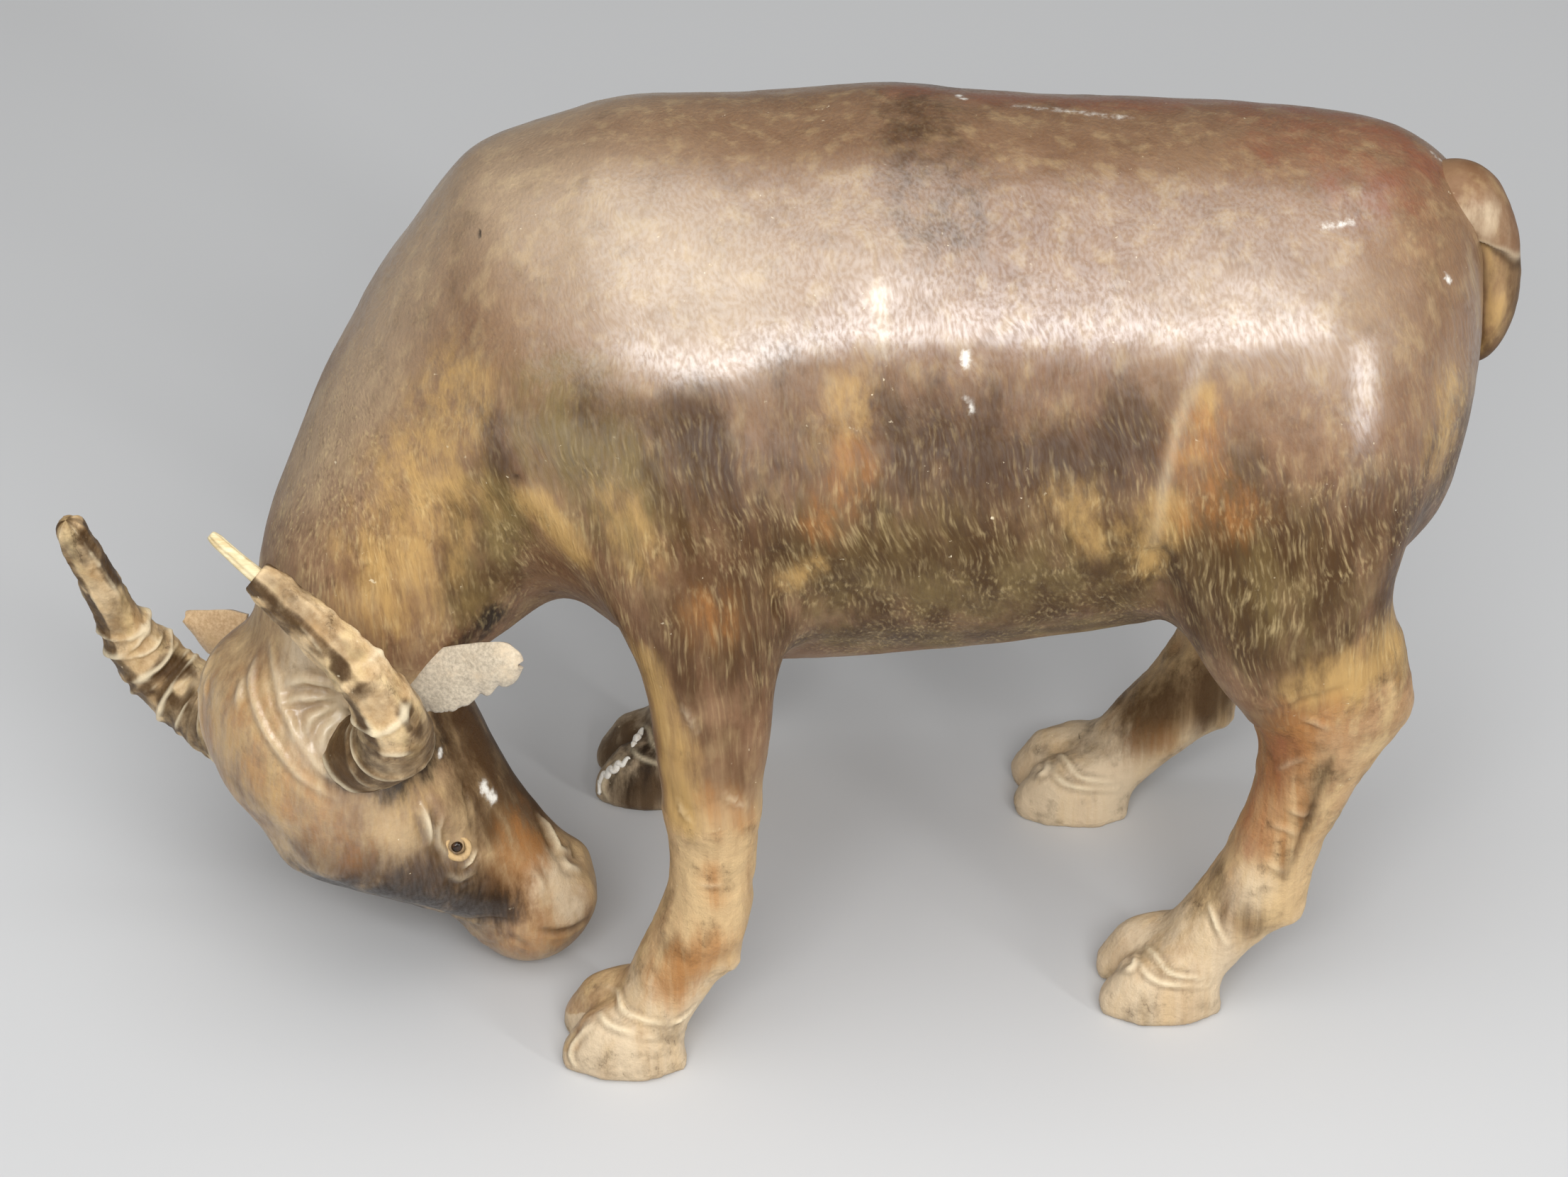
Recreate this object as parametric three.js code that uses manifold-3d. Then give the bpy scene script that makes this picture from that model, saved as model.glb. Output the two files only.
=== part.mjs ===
// Leather-clad water buffalo figurine, head lowered and turned to its left.
// Carved wooden cores, dowelled together, are covered with glued and butted leather panels.
// Millimetres, +Z up. The animal faces -X, its left side is -Y and its soles stand on Z = 0.
import * as THREE from "three";
import { mergeVertices } from "three/addons/utils/BufferGeometryUtils.js";
import Module from "manifold-3d";

const wasm = await Module();
wasm.setup();

// Main sizes, which the drawn sections below are stretched to
const LENGTH = 241; // trunk and neck, from the rump to behind the horns
const WIDTH = 102; // across the barrel
const HEIGHT = 197.5; // from the ground to the top of the back

// Leather, glue lines and fits
const HIDE = 1.6; // thickness of the leather panels
const SEAM = 0.4; // gap where two panels butt
const GLUE = 0.5; // glue line between the leather and the core
const FIT = 0.35; // clearance of a piece in its seat or socket
const SOLE = 2; // thickness of a sole pad

// Dowels
const LEG_DOWEL = { radius: 4, length: 30, inset: 6, station: 3 }; // inset is towards the trunk's middle
const CROSS_DOWEL = { radius: 4, length: 36 };
const NECK_DOWEL = { radius: 6, length: 40 };
const CROSS_JOINTS = { front: 8.45, rear: 5.3 }; // where the cross dowels sit, counted in trunk stations
const NECK_JOINTS = { rear: 10.4, front: 13.25 }; // and the neck dowels

// Head pose
const HEAD_TURN = 54; // degrees, to the animal's left
const HEAD_NOD = 25.5; // degrees, face tucked under
const HEAD_TILT = 28; // degrees, left side up

// Horns
const HORN_SPIKE = { root: 3.4, tip: 1.3 }; // radius of the core
const HORN_RINGS = 8; // ridges of the wound leather
const HORN_RIDGE = 0.35; // height of a ridge
const HORN_WORN = 12; // length of the left horn's worn end, where the core is bare
const HORN_CAP = 6; // length of wrap past the end of the right horn's core

// Eyes, on a section of the head: the angle is in degrees, from the side towards the forehead
const EYE = { station: 5, angle: 20, radius: 1.4, sink: 0.4 }; // sink is the bead's middle below the skin
const EYELID = { roll: 0.75, lift: 0.2 };

// How far each ear stands out, as drawn or further
const EAR_REACH = { left: 1, right: 1.2 };

// Nostrils, on the section of the muzzle
const NOSTRIL = { station: 8, angle: 48, radius: 2.6, sink: -1.4 };

// Hooves
const CLEFT = 2; // width that a hoof's two claws share below the sole
const DEWCLAW = { radius: 3.4, apart: 9, sink: 4, drop: 6 }; // behind and below the fetlock's section

const V = (x, y, z) => new THREE.Vector3(x, y, z);
const LATERAL = V(0, 1, 0);
const FAR = 600; // longer than the whole figure

// Trunk and neck, from the rump to behind the horns: half is across, up and down are in the section.
const TRUNK_DRAWN = [
  { at: V(140, 0, 150), half: 10, up: 18, down: 9 },
  { at: V(137, 0, 150), half: 22, up: 31.5, down: 24 },
  { at: V(129, 0, 149), half: 34, up: 42, down: 40 },
  { at: V(114, 0, 146), half: 43, up: 47, down: 52 },
  { at: V(95, 0, 142), half: 47, up: 51.5, down: 56 },
  { at: V(70, 0, 140), half: 49, up: 54, down: 57 },
  { at: V(42, 0, 138), half: 50.5, up: 57, down: 60 },
  { at: V(22, 0, 138), half: 51, up: 59.5, down: 62.5 },
  { at: V(0, 0, 138), half: 51, up: 57, down: 65 },
  { at: V(-28, 0, 137), half: 49, up: 58, down: 64 },
  { at: V(-47, 0, 134), half: 45, up: 53, down: 62.5 },
  { at: V(-62, -3, 127), half: 40, up: 37, down: 56.5 },
  { at: V(-74, -7, 118), half: 34, up: 27, down: 41 },
  { at: V(-88, -17, 97), half: 28, up: 21.5, down: 30 },
  { at: V(-96, -22, 82), half: 22, up: 15, down: 22 },
  { at: V(-101, -24, 72), half: 10, up: 8, down: 9 },
];
const DRAWN = V(
  TRUNK_DRAWN[0].at.x - TRUNK_DRAWN[TRUNK_DRAWN.length - 1].at.x,
  2 * Math.max(...TRUNK_DRAWN.map(({ half }) => half)),
  Math.max(...TRUNK_DRAWN.map(({ at, up }) => at.z + up)),
);
const STRETCH = V(LENGTH, WIDTH, HEIGHT).divide(DRAWN);
const place = (x, y, z) => V(x, y, z).multiply(STRETCH);
const stretched = (stations, deep) =>
  stations.map(({ at, half, up, down }) => ({
    at: at.clone().multiply(STRETCH),
    half: half * STRETCH.y,
    up: up * deep,
    down: down * deep,
  }));
const TRUNK = stretched(TRUNK_DRAWN, STRETCH.z);
const HEAD_AT = place(-100, -27, 68); // midway between the horn roots

// Head, in its own frame: x to the animal's left, y to the crown, z out of the forehead.
const HEAD = [
  { at: V(0, 21, -1), half: 11, up: 7, down: 10 },
  { at: V(0, 14, -1), half: 20, up: 15, down: 18 },
  { at: V(0, 3, -1), half: 24, up: 21, down: 27 },
  { at: V(0, -10, 0), half: 24.5, up: 22.5, down: 32 },
  { at: V(0, -25, -1), half: 22, up: 21, down: 29 },
  { at: V(0, -38, -3), half: 19.5, up: 18, down: 23 },
  { at: V(0, -52, -6), half: 15.5, up: 14.5, down: 16 },
  { at: V(0, -63, -7.5), half: 15, up: 15.5, down: 13 },
  { at: V(0, -72, -7.5), half: 16, up: 16, down: 12.5 },
  { at: V(0, -78, -8), half: 13, up: 13, down: 10 },
  { at: V(0, -81.5, -8.5), half: 6.5, up: 7, down: 5.5 },
];

// Left horn in the head's frame, from its peg inside the head to its tip.
const HORN = [
  { at: V(8, -5, 3), radius: 8 },
  { at: V(22, -4, 3), radius: 8 },
  { at: V(36, -1, 1.6), radius: 7.8 },
  { at: V(44, 7.5, 0.5), radius: 7.3 },
  { at: V(46, 17, -0.5), radius: 6.6 },
  { at: V(43.5, 27.5, -2), radius: 5.6 },
  { at: V(38.7, 38, -3.5), radius: 4.7 },
  { at: V(34, 48, -4.3), radius: 3.9 },
  { at: V(30, 56, -5.3), radius: 3.2 },
];

// Left ear in the head's frame: half is along y, up and down are the leaf's thickness.
const EAR = [
  { at: V(16, -6, -14), half: 4, up: 1, down: 1 },
  { at: V(27, -5.5, -17), half: 6.8, up: 1, down: 1 },
  { at: V(41, -3.5, -19), half: 7.5, up: 0.9, down: 0.9 },
  { at: V(54, -0.5, -19.6), half: 5.5, up: 0.8, down: 0.8 },
  { at: V(60, 1.3, -19.6), half: 2.6, up: 0.6, down: 0.6 },
];

// Legs of the left side, from inside the trunk to below the sole: up is forward (-X), down is aft.
const FORELEG_DRAWN = [
  { at: V(-24, -18, 172), half: 8, up: 12, down: 12 },
  { at: V(-26, -29, 154), half: 16, up: 22, down: 22 },
  { at: V(-23, -36, 134), half: 18, up: 24, down: 24 },
  { at: V(-18, -42, 115), half: 16.5, up: 19.5, down: 19.5 },
  { at: V(-14.5, -46, 97), half: 14, up: 14.5, down: 14.5 },
  { at: V(-14.5, -48, 82), half: 12, up: 12.5, down: 12 },
  { at: V(-14.5, -49.5, 66), half: 10.5, up: 11, down: 10.5 },
  { at: V(-14.5, -51, 49), half: 8.5, up: 8.5, down: 8.5 },
  { at: V(-17.5, -51.5, 32), half: 10, up: 9.5, down: 10.5 },
  { at: V(-24, -52, 18), half: 9, up: 9, down: 8 },
  { at: V(-30, -52, 8), half: 9, up: 7.5, down: 9 },
  { at: V(-31, -52, -4), half: 9, up: 7, down: 9 },
];
const HINDLEG_DRAWN = [
  { at: V(106, -17, 178), half: 8, up: 14, down: 12 },
  { at: V(105, -26, 162), half: 15, up: 26, down: 21 },
  { at: V(102, -33, 142), half: 17.5, up: 30, down: 26 },
  { at: V(99.5, -36, 121), half: 18, up: 27, down: 25 },
  { at: V(102, -36.5, 102), half: 15.5, up: 22, down: 21 },
  { at: V(107.5, -36, 88), half: 13, up: 19, down: 19.5 },
  { at: V(111.5, -35.5, 77), half: 11, up: 15.5, down: 18 },
  { at: V(109, -35, 62), half: 9, up: 11, down: 11 },
  { at: V(104.5, -34.5, 46), half: 8, up: 9, down: 9 },
  { at: V(100, -34.5, 31), half: 9.5, up: 9.5, down: 11 },
  { at: V(92, -34.5, 18), half: 9, up: 9, down: 8.5 },
  { at: V(84, -34.5, 8), half: 9, up: 7.5, down: 9 },
  { at: V(83, -34.5, -4), half: 9, up: 7, down: 9 },
];
const FORELEG = stretched(FORELEG_DRAWN, STRETCH.x);
const HINDLEG = stretched(HINDLEG_DRAWN, STRETCH.x);

const FETLOCK = 4; // the fetlock's station, counted from the foot

// One claw of a hoof, about the foot of its leg, from below the sole up.
const CLAW = [
  { at: V(-2.6, 0, -5), half: 6.6, up: 12.6, down: 12.2 },
  { at: V(-2, 0, 4), half: 7.3, up: 14, down: 13.5 },
  { at: V(0.5, 0, 9), half: 6.8, up: 9.5, down: 12 },
  { at: V(4, 0, 13), half: 5, up: 4.5, down: 9 },
  { at: V(6.5, 0, 15.5), half: 3, up: 2, down: 5 },
];

// Tail, from its root in the rump to its tip
const TAIL = [
  { at: place(122, 0, 172), radius: 5 },
  { at: place(134, 0, 178), radius: 5.2 },
  { at: place(140, 0, 172), radius: 5 },
  { at: place(142.5, 0, 162), radius: 4.8 },
  { at: place(143, 0, 153), radius: 4.6 },
  { at: place(141.5, 0, 145), radius: 4 },
  { at: place(139, 0, 139), radius: 2.2 },
];
const TAIL_CANE = { root: 1.7, tip: 0.9 }; // radius of the core
const TAIL_CAP = 5; // length of wrap past the end of the core

// Seam planes: a point and the side that the next panel lies on
const HEAD_SEAM = { point: place(-90, -19, 93), normal: V(-0.45, -0.2, -0.87) };
const NECK_SEAM = { point: place(-53, 0, 137), normal: V(-0.99, 0, -0.14) };
const BARREL_SEAM = { point: place(13, 0, 135), normal: V(0.99, 0, -0.14) };
const HIP_SEAM = { point: place(81, 0, 140), normal: V(0.99, 0, -0.12) };
const MUZZLE_SEAM = { point: V(0, -54, 0), normal: V(0, -1, 0) };
const KNEE_SEAM = { point: place(-14.5, 0, 64), normal: V(0, 0, -1) };
const HOCK_SEAM = { point: place(108, 0, 86), normal: V(0.6, 0, -0.8) };
const CORONET = { height: 15, normal: V(-0.3, 0, -0.95) }; // the seam above a hoof, over its foot

// Stance: how each foot is set from the mirrored left one, fading out at the elbow
const STANCE_TOP = 85;
const LEGS = {
  front_left: { stations: FORELEG, side: -1, dx: 0, dy: 0, seam: KNEE_SEAM },
  front_right: { stations: FORELEG, side: 1, dx: 4, dy: -13, seam: KNEE_SEAM },
  hind_left: { stations: HINDLEG, side: -1, dx: 0, dy: 0, seam: HOCK_SEAM },
  hind_right: { stations: HINDLEG, side: 1, dx: -15, dy: -2, seam: HOCK_SEAM },
};

// Facets of each form: around and along
const FACETS = {
  trunk: [16, 15],
  leg: [10, 12],
  claw: [8, 5],
  head: [12, 12],
  hornWrap: [8, 3 * HORN_RINGS],
  hornCore: [6, 9],
  ear: [6, 6],
  tailWrap: [7, 9],
  tailCore: [6, 8],
  bead: [6, 5],
  lid: [4, 9],
  dewclaw: [6, 4],
  nostril: [6, 4],
  dowel: 10,
};

const LOOKS = {
  body: { color: 0x5f4636, roughness: 0.5, metalness: 0 },
  limb: { color: 0x8c7256, roughness: 0.55, metalness: 0 },
  horn: { color: 0x8a7358, roughness: 0.55, metalness: 0 },
  ear: { color: 0x9b8f84, roughness: 0.8, metalness: 0 },
  wood: { color: 0xc9ad84, roughness: 0.7, metalness: 0 },
  cane: { color: 0xdcc9a2, roughness: 0.6, metalness: 0 },
  bead: { color: 0x1c1512, roughness: 0.15, metalness: 0 },
};

// Closed geometry through rings of points, with flat fan caps.
function skin(rings) {
  const around = rings[0].length;
  const points = rings.flat();
  const faces = [];
  for (let i = 0; i + 1 < rings.length; i++) {
    for (let j = 0; j < around; j++) {
      const a = i * around + j;
      const b = i * around + ((j + 1) % around);
      faces.push(a, a + around, b, b, a + around, b + around);
    }
  }
  [0, rings.length - 1].forEach((end) => {
    const middle = V(0, 0, 0);
    rings[end].forEach((p) => middle.add(p));
    const hub = points.push(middle.divideScalar(around)) - 1;
    for (let j = 0; j < around; j++) {
      const a = end * around + j;
      const b = end * around + ((j + 1) % around);
      faces.push(...(end ? [b, a, hub] : [a, b, hub]));
    }
  });
  return new THREE.BufferGeometry().setFromPoints(points).setIndex(faces);
}

// A loft through stations: the centres and the half sizes each follow a smooth curve.
function loft(stations, [around, steps], { lateral = LATERAL, to = 1, swell = () => 0 } = {}) {
  const turn = (2 * Math.PI) / around;
  const full = Math.sqrt(turn / Math.sin(turn)); // the faceted section has the round one's area
  const centres = new THREE.CatmullRomCurve3(stations.map((s) => s.at));
  const sizes = new THREE.CatmullRomCurve3(stations.map((s) => V(s.half, s.up, s.down)));
  const rings = [];
  for (let i = 0; i <= steps; i++) {
    const t = (to * i) / steps;
    const centre = centres.getPoint(t);
    const ahead = centres.getTangent(t);
    const size = sizes.getPoint(t).addScalar(swell(t)).multiplyScalar(full);
    const side = lateral.clone().addScaledVector(ahead, -lateral.dot(ahead)).normalize();
    const up = V(0, 0, 0).crossVectors(side, ahead);
    const ring = [];
    for (let j = 0; j < around; j++) {
      const angle = turn * (j + 0.5);
      const reach = Math.sin(angle) > 0 ? size.y : size.z;
      const point = centre.clone().addScaledVector(side, size.x * Math.cos(angle));
      ring.push(point.addScaledVector(up, reach * Math.sin(angle)));
    }
    rings.push(ring);
  }
  return skin(rings);
}

// Stations of a round piece, and of the tapered core along the same path.
const disc = (at, radius) => ({ at, half: radius, up: radius, down: radius });
const round = (stations) => stations.map(({ at, radius }) => disc(at, radius));
const taper = (stations, { root, tip }, grown = 0) =>
  stations.map(({ at }, i) => {
    const share = i / (stations.length - 1);
    return disc(at, THREE.MathUtils.lerp(root, tip, share) + grown);
  });

// The place along a path that lies a length before its end, as a share of the path.
function shortOf(stations, length) {
  const path = new THREE.CatmullRomCurve3(stations.map((s) => s.at));
  return path.getUtoTmapping(1 - length / path.getLength());
}

// The middle, direction and half sizes of a loft at a station, which may be a fraction.
function sectionAt(stations, index) {
  const path = new THREE.CatmullRomCurve3(stations.map((s) => s.at));
  const sizes = new THREE.CatmullRomCurve3(stations.map((s) => V(s.half, s.up, s.down)));
  const t = index / (stations.length - 1);
  const { x: half, y: up, z: down } = sizes.getPoint(t);
  return { at: path.getPoint(t), direction: path.getTangent(t), half, up, down };
}

// The same surface moved inwards by a depth along its normals, or outwards by a negative one.
function sunk(geometry, depth) {
  const moved = geometry.clone();
  moved.computeVertexNormals();
  const { position, normal } = moved.attributes;
  const point = V(0, 0, 0);
  const out = V(0, 0, 0);
  for (let i = 0; i < position.count; i++) {
    point.fromBufferAttribute(position, i);
    out.fromBufferAttribute(normal, i);
    point.addScaledVector(out, -depth);
    position.setXYZ(i, point.x, point.y, point.z);
  }
  return moved;
}

function solid(geometry) {
  const bare = geometry.clone();
  bare.deleteAttribute("normal");
  bare.deleteAttribute("uv");
  const merged = mergeVertices(bare);
  const triVerts = new Uint32Array(merged.index.array);
  const vertProperties = merged.attributes.position.array;
  return new wasm.Manifold(new wasm.Mesh({ numProp: 3, vertProperties, triVerts }));
}

function geometryOf(body) {
  const { vertProperties, triVerts } = body.getMesh();
  const geometry = new THREE.BufferGeometry();
  geometry.setAttribute("position", new THREE.BufferAttribute(vertProperties, 3));
  geometry.setIndex(new THREE.BufferAttribute(triVerts, 1));
  geometry.computeVertexNormals();
  return geometry;
}

const join = (...bodies) => bodies.reduce((whole, body) => whole.add(body));
const cut = (body, ...tools) => tools.reduce((rest, tool) => rest.subtract(tool), body);
const common = (...bodies) => bodies.reduce((rest, body) => rest.intersect(body));
const largest = (body) => body.decompose().reduce((a, b) => (b.volume() > a.volume() ? b : a));

// All space on the side that a plane's normal points to, or away from, past half a gap.
function halfSpace({ point, normal }, sense, gap = SEAM) {
  const box = new THREE.BoxGeometry(FAR, FAR, FAR).translate(0, 0, FAR / 2 + gap / 2);
  const towards = normal.clone().normalize().multiplyScalar(sense);
  box.applyQuaternion(new THREE.Quaternion().setFromUnitVectors(V(0, 0, 1), towards));
  return solid(box.translate(point.x, point.y, point.z));
}
const beyond = (plane, gap) => halfSpace(plane, 1, gap);
const before = (plane, gap) => halfSpace(plane, -1, gap);
const MIDDLE = { point: V(0, 0, 0), normal: V(0, 1, 0) };
const onSide = (side, gap) => halfSpace(MIDDLE, side, gap);
const above = (height) => halfSpace({ point: V(0, 0, height), normal: V(0, 0, 1) }, 1, 0);
const below = (height) => halfSpace({ point: V(0, 0, height), normal: V(0, 0, 1) }, -1, 0);

// A dowel along a direction, and the bore that it goes into.
function rod({ radius, length }, middle, direction, clearance = 0) {
  const thick = radius + clearance;
  const bar = new THREE.CylinderGeometry(thick, thick, length + 2 * clearance, FACETS.dowel);
  bar.applyQuaternion(new THREE.Quaternion().setFromUnitVectors(LATERAL, direction.clone().normalize()));
  return bar.translate(middle.x, middle.y, middle.z);
}

const degrees = THREE.MathUtils.degToRad;
const headFrame = new THREE.Matrix4()
  .makeTranslation(HEAD_AT)
  .multiply(new THREE.Matrix4().makeRotationZ(degrees(HEAD_TURN)))
  .multiply(new THREE.Matrix4().makeBasis(V(0, -1, 0), V(0, 0, 1), V(-1, 0, 0)))
  .multiply(new THREE.Matrix4().makeRotationX(degrees(HEAD_NOD)))
  .multiply(new THREE.Matrix4().makeRotationZ(degrees(HEAD_TILT)));
const toHead = headFrame.clone().invert();

const figure = new THREE.Group();
const head = new THREE.Group();
head.applyMatrix4(headFrame);
figure.add(head);

function piece(group, name, body, look) {
  const mesh = new THREE.Mesh(geometryOf(body), new THREE.MeshStandardMaterial(LOOKS[look]));
  mesh.name = name;
  group.add(mesh);
}

// Layers of a lofted form: the leather's outside and inside, the core, the seat for what is set on the
// core, and the outside grown by a seam for what must stay clear of it.
const DEPTHS = { outer: 0, inner: HIDE, core: HIDE + GLUE, seat: HIDE + GLUE - FIT, clear: -SEAM };
function layered(stations, facets, lateral = LATERAL) {
  const outline = loft(stations, facets, { lateral });
  return (layer, frame = new THREE.Matrix4()) => solid(sunk(outline, DEPTHS[layer]).applyMatrix4(frame));
}
const trunkAt = layered(TRUNK, FACETS.trunk);
const tailCore = (grown = 0) =>
  loft(taper(TAIL, TAIL_CANE, grown), FACETS.tailCore, { to: shortOf(TAIL, TAIL_CAP) });

// Legs
function legStations({ stations, side, dx, dy }) {
  return stations.map((station) => {
    const fade = Math.max(0, 1 - station.at.z / STANCE_TOP);
    const y = side * (Math.abs(station.at.y) + dy * fade);
    return { ...station, at: V(station.at.x + dx * fade, y, station.at.z) };
  });
}

function claws(foot) {
  const apart = 2 * CLAW[0].half - CLEFT;
  const pair = [-1, 1].map((way) => {
    const shift = V(foot.x, foot.y + (way * apart) / 2, 0);
    const stations = CLAW.map((station) => ({ ...station, at: station.at.clone().add(shift) }));
    return solid(loft(stations.reverse(), FACETS.claw));
  });
  return join(...pair);
}

function dewclaws({ at, down }) {
  const pair = [-1, 1].map((way) => {
    const bump = new THREE.SphereGeometry(DEWCLAW.radius, ...FACETS.dewclaw);
    const aft = at.x + down - DEWCLAW.sink;
    return solid(bump.translate(aft, at.y + (way * DEWCLAW.apart) / 2, at.z - DEWCLAW.drop));
  });
  return join(...pair);
}

const legs = Object.entries(LEGS).map(([name, leg]) => {
  const stations = legStations(leg);
  const legAt = layered(stations, FACETS.leg);
  const foot = stations[stations.length - 1].at;
  const fetlock = sectionAt(stations, stations.length - FETLOCK);
  return {
    name,
    ...leg,
    stations,
    pastern: { point: V(foot.x, foot.y, CORONET.height), normal: CORONET.normal },
    claws: claws(foot),
    outer: common(join(legAt("outer"), claws(foot), dewclaws(fetlock)), above(0)),
    clear: legAt("clear"),
    inner: legAt("inner"),
    core: legAt("core"),
  };
});

const legPart = (text) => legs.filter(({ name }) => name.startsWith(text));
const trunkOuter = common(trunkAt("outer"), before(HEAD_SEAM));
const allInner = join(trunkAt("inner"), ...legs.map(({ inner }) => inner));
const allClear = join(...legs.map(({ clear }) => clear));

// Ears, whose roots reach into slits in the head and the neck
const sides = { left: 1, right: -1 };
const eachSide = (make) => Object.values(sides).flatMap(make).map(solid);
const mirrored = (stations, side) =>
  stations.map((station) => ({ ...station, at: V(station.at.x * side, station.at.y, station.at.z) }));
const earStations = (reach) =>
  EAR.map((station) => {
    const x = THREE.MathUtils.lerp(EAR[0].at.x, station.at.x, reach);
    return { ...station, at: V(x, station.at.y, station.at.z) };
  });
const earLeaf = (side, grown = 0) => {
  const stations = earStations(side > 0 ? EAR_REACH.left : EAR_REACH.right);
  return sunk(loft(mirrored(stations, side), FACETS.ear), -grown);
};
const earSlits = eachSide((side) => earLeaf(side, FIT).applyMatrix4(headFrame));

// Trunk panels
const neckHide = cut(common(trunkOuter, beyond(NECK_SEAM)), allClear, allInner, ...earSlits);
piece(figure, "neck_hide", largest(neckHide), "body");
[-1, 1].forEach((side) => {
  const word = side < 0 ? "left" : "right";
  const half = common(trunkOuter, onSide(side), before(NECK_SEAM));
  const fore = legPart("front").find((leg) => leg.side === side);
  const hind = legPart("hind").find((leg) => leg.side === side);
  const shoulder = join(common(half, before(BARREL_SEAM)), common(fore.outer, before(fore.seam)));
  const barrel = cut(common(half, beyond(BARREL_SEAM), before(HIP_SEAM)), fore.clear, hind.clear);
  const hip = join(common(half, beyond(HIP_SEAM)), common(hind.outer, before(hind.seam)));
  piece(figure, `shoulder_hide_${word}`, largest(cut(shoulder, allInner)), "body");
  piece(figure, `barrel_hide_${word}`, largest(cut(barrel, allInner)), "body");
  piece(figure, `hip_hide_${word}`, largest(cut(hip, allInner, solid(tailCore(FIT)))), "body");
});

// Lower legs: sleeve, hoof and sole
const trunkClear = trunkAt("clear");
legs.forEach((leg) => {
  const low = cut(common(leg.outer, beyond(leg.seam)), trunkClear);
  const sleeve = cut(common(low, before(leg.pastern)), allInner);
  const hoof = cut(common(low, beyond(leg.pastern), above(SOLE + SEAM)), allInner);
  piece(figure, `leg_sleeve_${leg.name}`, largest(sleeve), "limb");
  piece(figure, `hoof_${leg.name}`, largest(hoof), "limb");
  piece(figure, `sole_${leg.name}`, common(leg.claws, above(0), below(SOLE)), "limb");
});

// Cores: trunk halves, neck and legs, with the dowels that hold them together
const neckRod = (end, clearance) => {
  const { at, direction } = sectionAt(TRUNK, NECK_JOINTS[end]);
  return rod(NECK_DOWEL, at, direction, clearance);
};
const crossRod = (end, clearance) =>
  rod(CROSS_DOWEL, sectionAt(TRUNK, CROSS_JOINTS[end]).at, LATERAL, clearance);
const legRod = ({ stations, side }, clearance) => {
  const { at } = sectionAt(stations, LEG_DOWEL.station);
  return rod(LEG_DOWEL, V(at.x, at.y - side * LEG_DOWEL.inset, at.z), LATERAL, clearance);
};
const trunkBores = [
  tailCore(FIT),
  neckRod("rear", FIT),
  crossRod("front", FIT),
  crossRod("rear", FIT),
  ...legs.map((leg) => legRod(leg, FIT)),
].map(solid);
const neckBores = [neckRod("rear", FIT), neckRod("front", FIT)].map(solid);
const trunkCore = common(trunkAt("core"), before(HEAD_SEAM, FIT));
[-1, 1].forEach((side) => {
  const half = common(trunkCore, onSide(side, FIT), before(NECK_SEAM, FIT));
  piece(figure, `trunk_core_${side < 0 ? "left" : "right"}`, cut(half, ...trunkBores), "wood");
});
piece(figure, "neck_core", cut(common(trunkCore, beyond(NECK_SEAM, FIT)), ...neckBores, ...earSlits), "wood");
["front", "rear"].forEach((end) => {
  piece(figure, `neck_dowel_${end}`, solid(neckRod(end)), "wood");
  piece(figure, `trunk_dowel_${end}`, solid(crossRod(end)), "wood");
});
const trunkSeat = trunkAt("seat");
legs.forEach((leg) => {
  const core = largest(cut(common(leg.core, above(SOLE + FIT)), trunkSeat));
  piece(figure, `leg_core_${leg.name}`, cut(core, solid(legRod(leg, FIT))), "wood");
  piece(figure, `leg_dowel_${leg.name}`, solid(legRod(leg)), "wood");
});

// Tail
piece(figure, "tail_core", solid(tailCore()), "cane");
const tailWrap = solid(loft(round(TAIL), FACETS.tailWrap));
piece(figure, "tail_wrap", largest(cut(tailWrap, trunkClear, solid(tailCore(FIT)))), "body");

// Head, in its own frame
const FACE = V(-1, 0, 0); // lateral direction that puts a section's up on the forehead
const FRONT = V(0, 0, 1); // the horns lie nearly square to it
const headAt = layered(HEAD, FACETS.head, FACE);
const seamInHead = {
  point: HEAD_SEAM.point.clone().applyMatrix4(toHead),
  normal: HEAD_SEAM.normal.clone().transformDirection(toHead),
};
const hornCore = (side, grown = 0) => {
  const to = side > 0 ? 1 : shortOf(HORN, HORN_CAP);
  return loft(mirrored(taper(HORN, HORN_SPIKE, grown), side), FACETS.hornCore, { lateral: FRONT, to });
};
const hornRidges = (t) => HORN_RIDGE * (1 - t) * Math.sin(2 * Math.PI * HORN_RINGS * t);
const hornWrap = (side) => {
  const to = side > 0 ? shortOf(HORN, HORN_WORN) : 1;
  return loft(mirrored(round(HORN), side), FACETS.hornWrap, { lateral: FRONT, to, swell: hornRidges });
};

// A place on a section of the head, with the way out of the skin there.
function onFace({ station, angle, sink }, side) {
  const { at, half, up } = sectionAt(HEAD, station);
  const across = side * Math.cos(degrees(angle));
  const high = Math.sin(degrees(angle));
  const way = V(across / half, 0, high / up).normalize();
  return { way, point: V(half * across, at.y, at.z + up * high).addScaledVector(way, -sink) };
}
const ball = (spot, side, facets, clearance = 0) => {
  const { point } = onFace(spot, side);
  return new THREE.SphereGeometry(spot.radius + clearance, ...facets).translate(point.x, point.y, point.z);
};
const lid = (side) => {
  const { point, way } = onFace({ ...EYE, sink: -EYELID.lift }, side);
  const ring = new THREE.TorusGeometry(EYE.radius + FIT + EYELID.roll, EYELID.roll, ...FACETS.lid);
  ring.applyQuaternion(new THREE.Quaternion().setFromUnitVectors(FRONT, way));
  return ring.translate(point.x, point.y, point.z);
};

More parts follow.
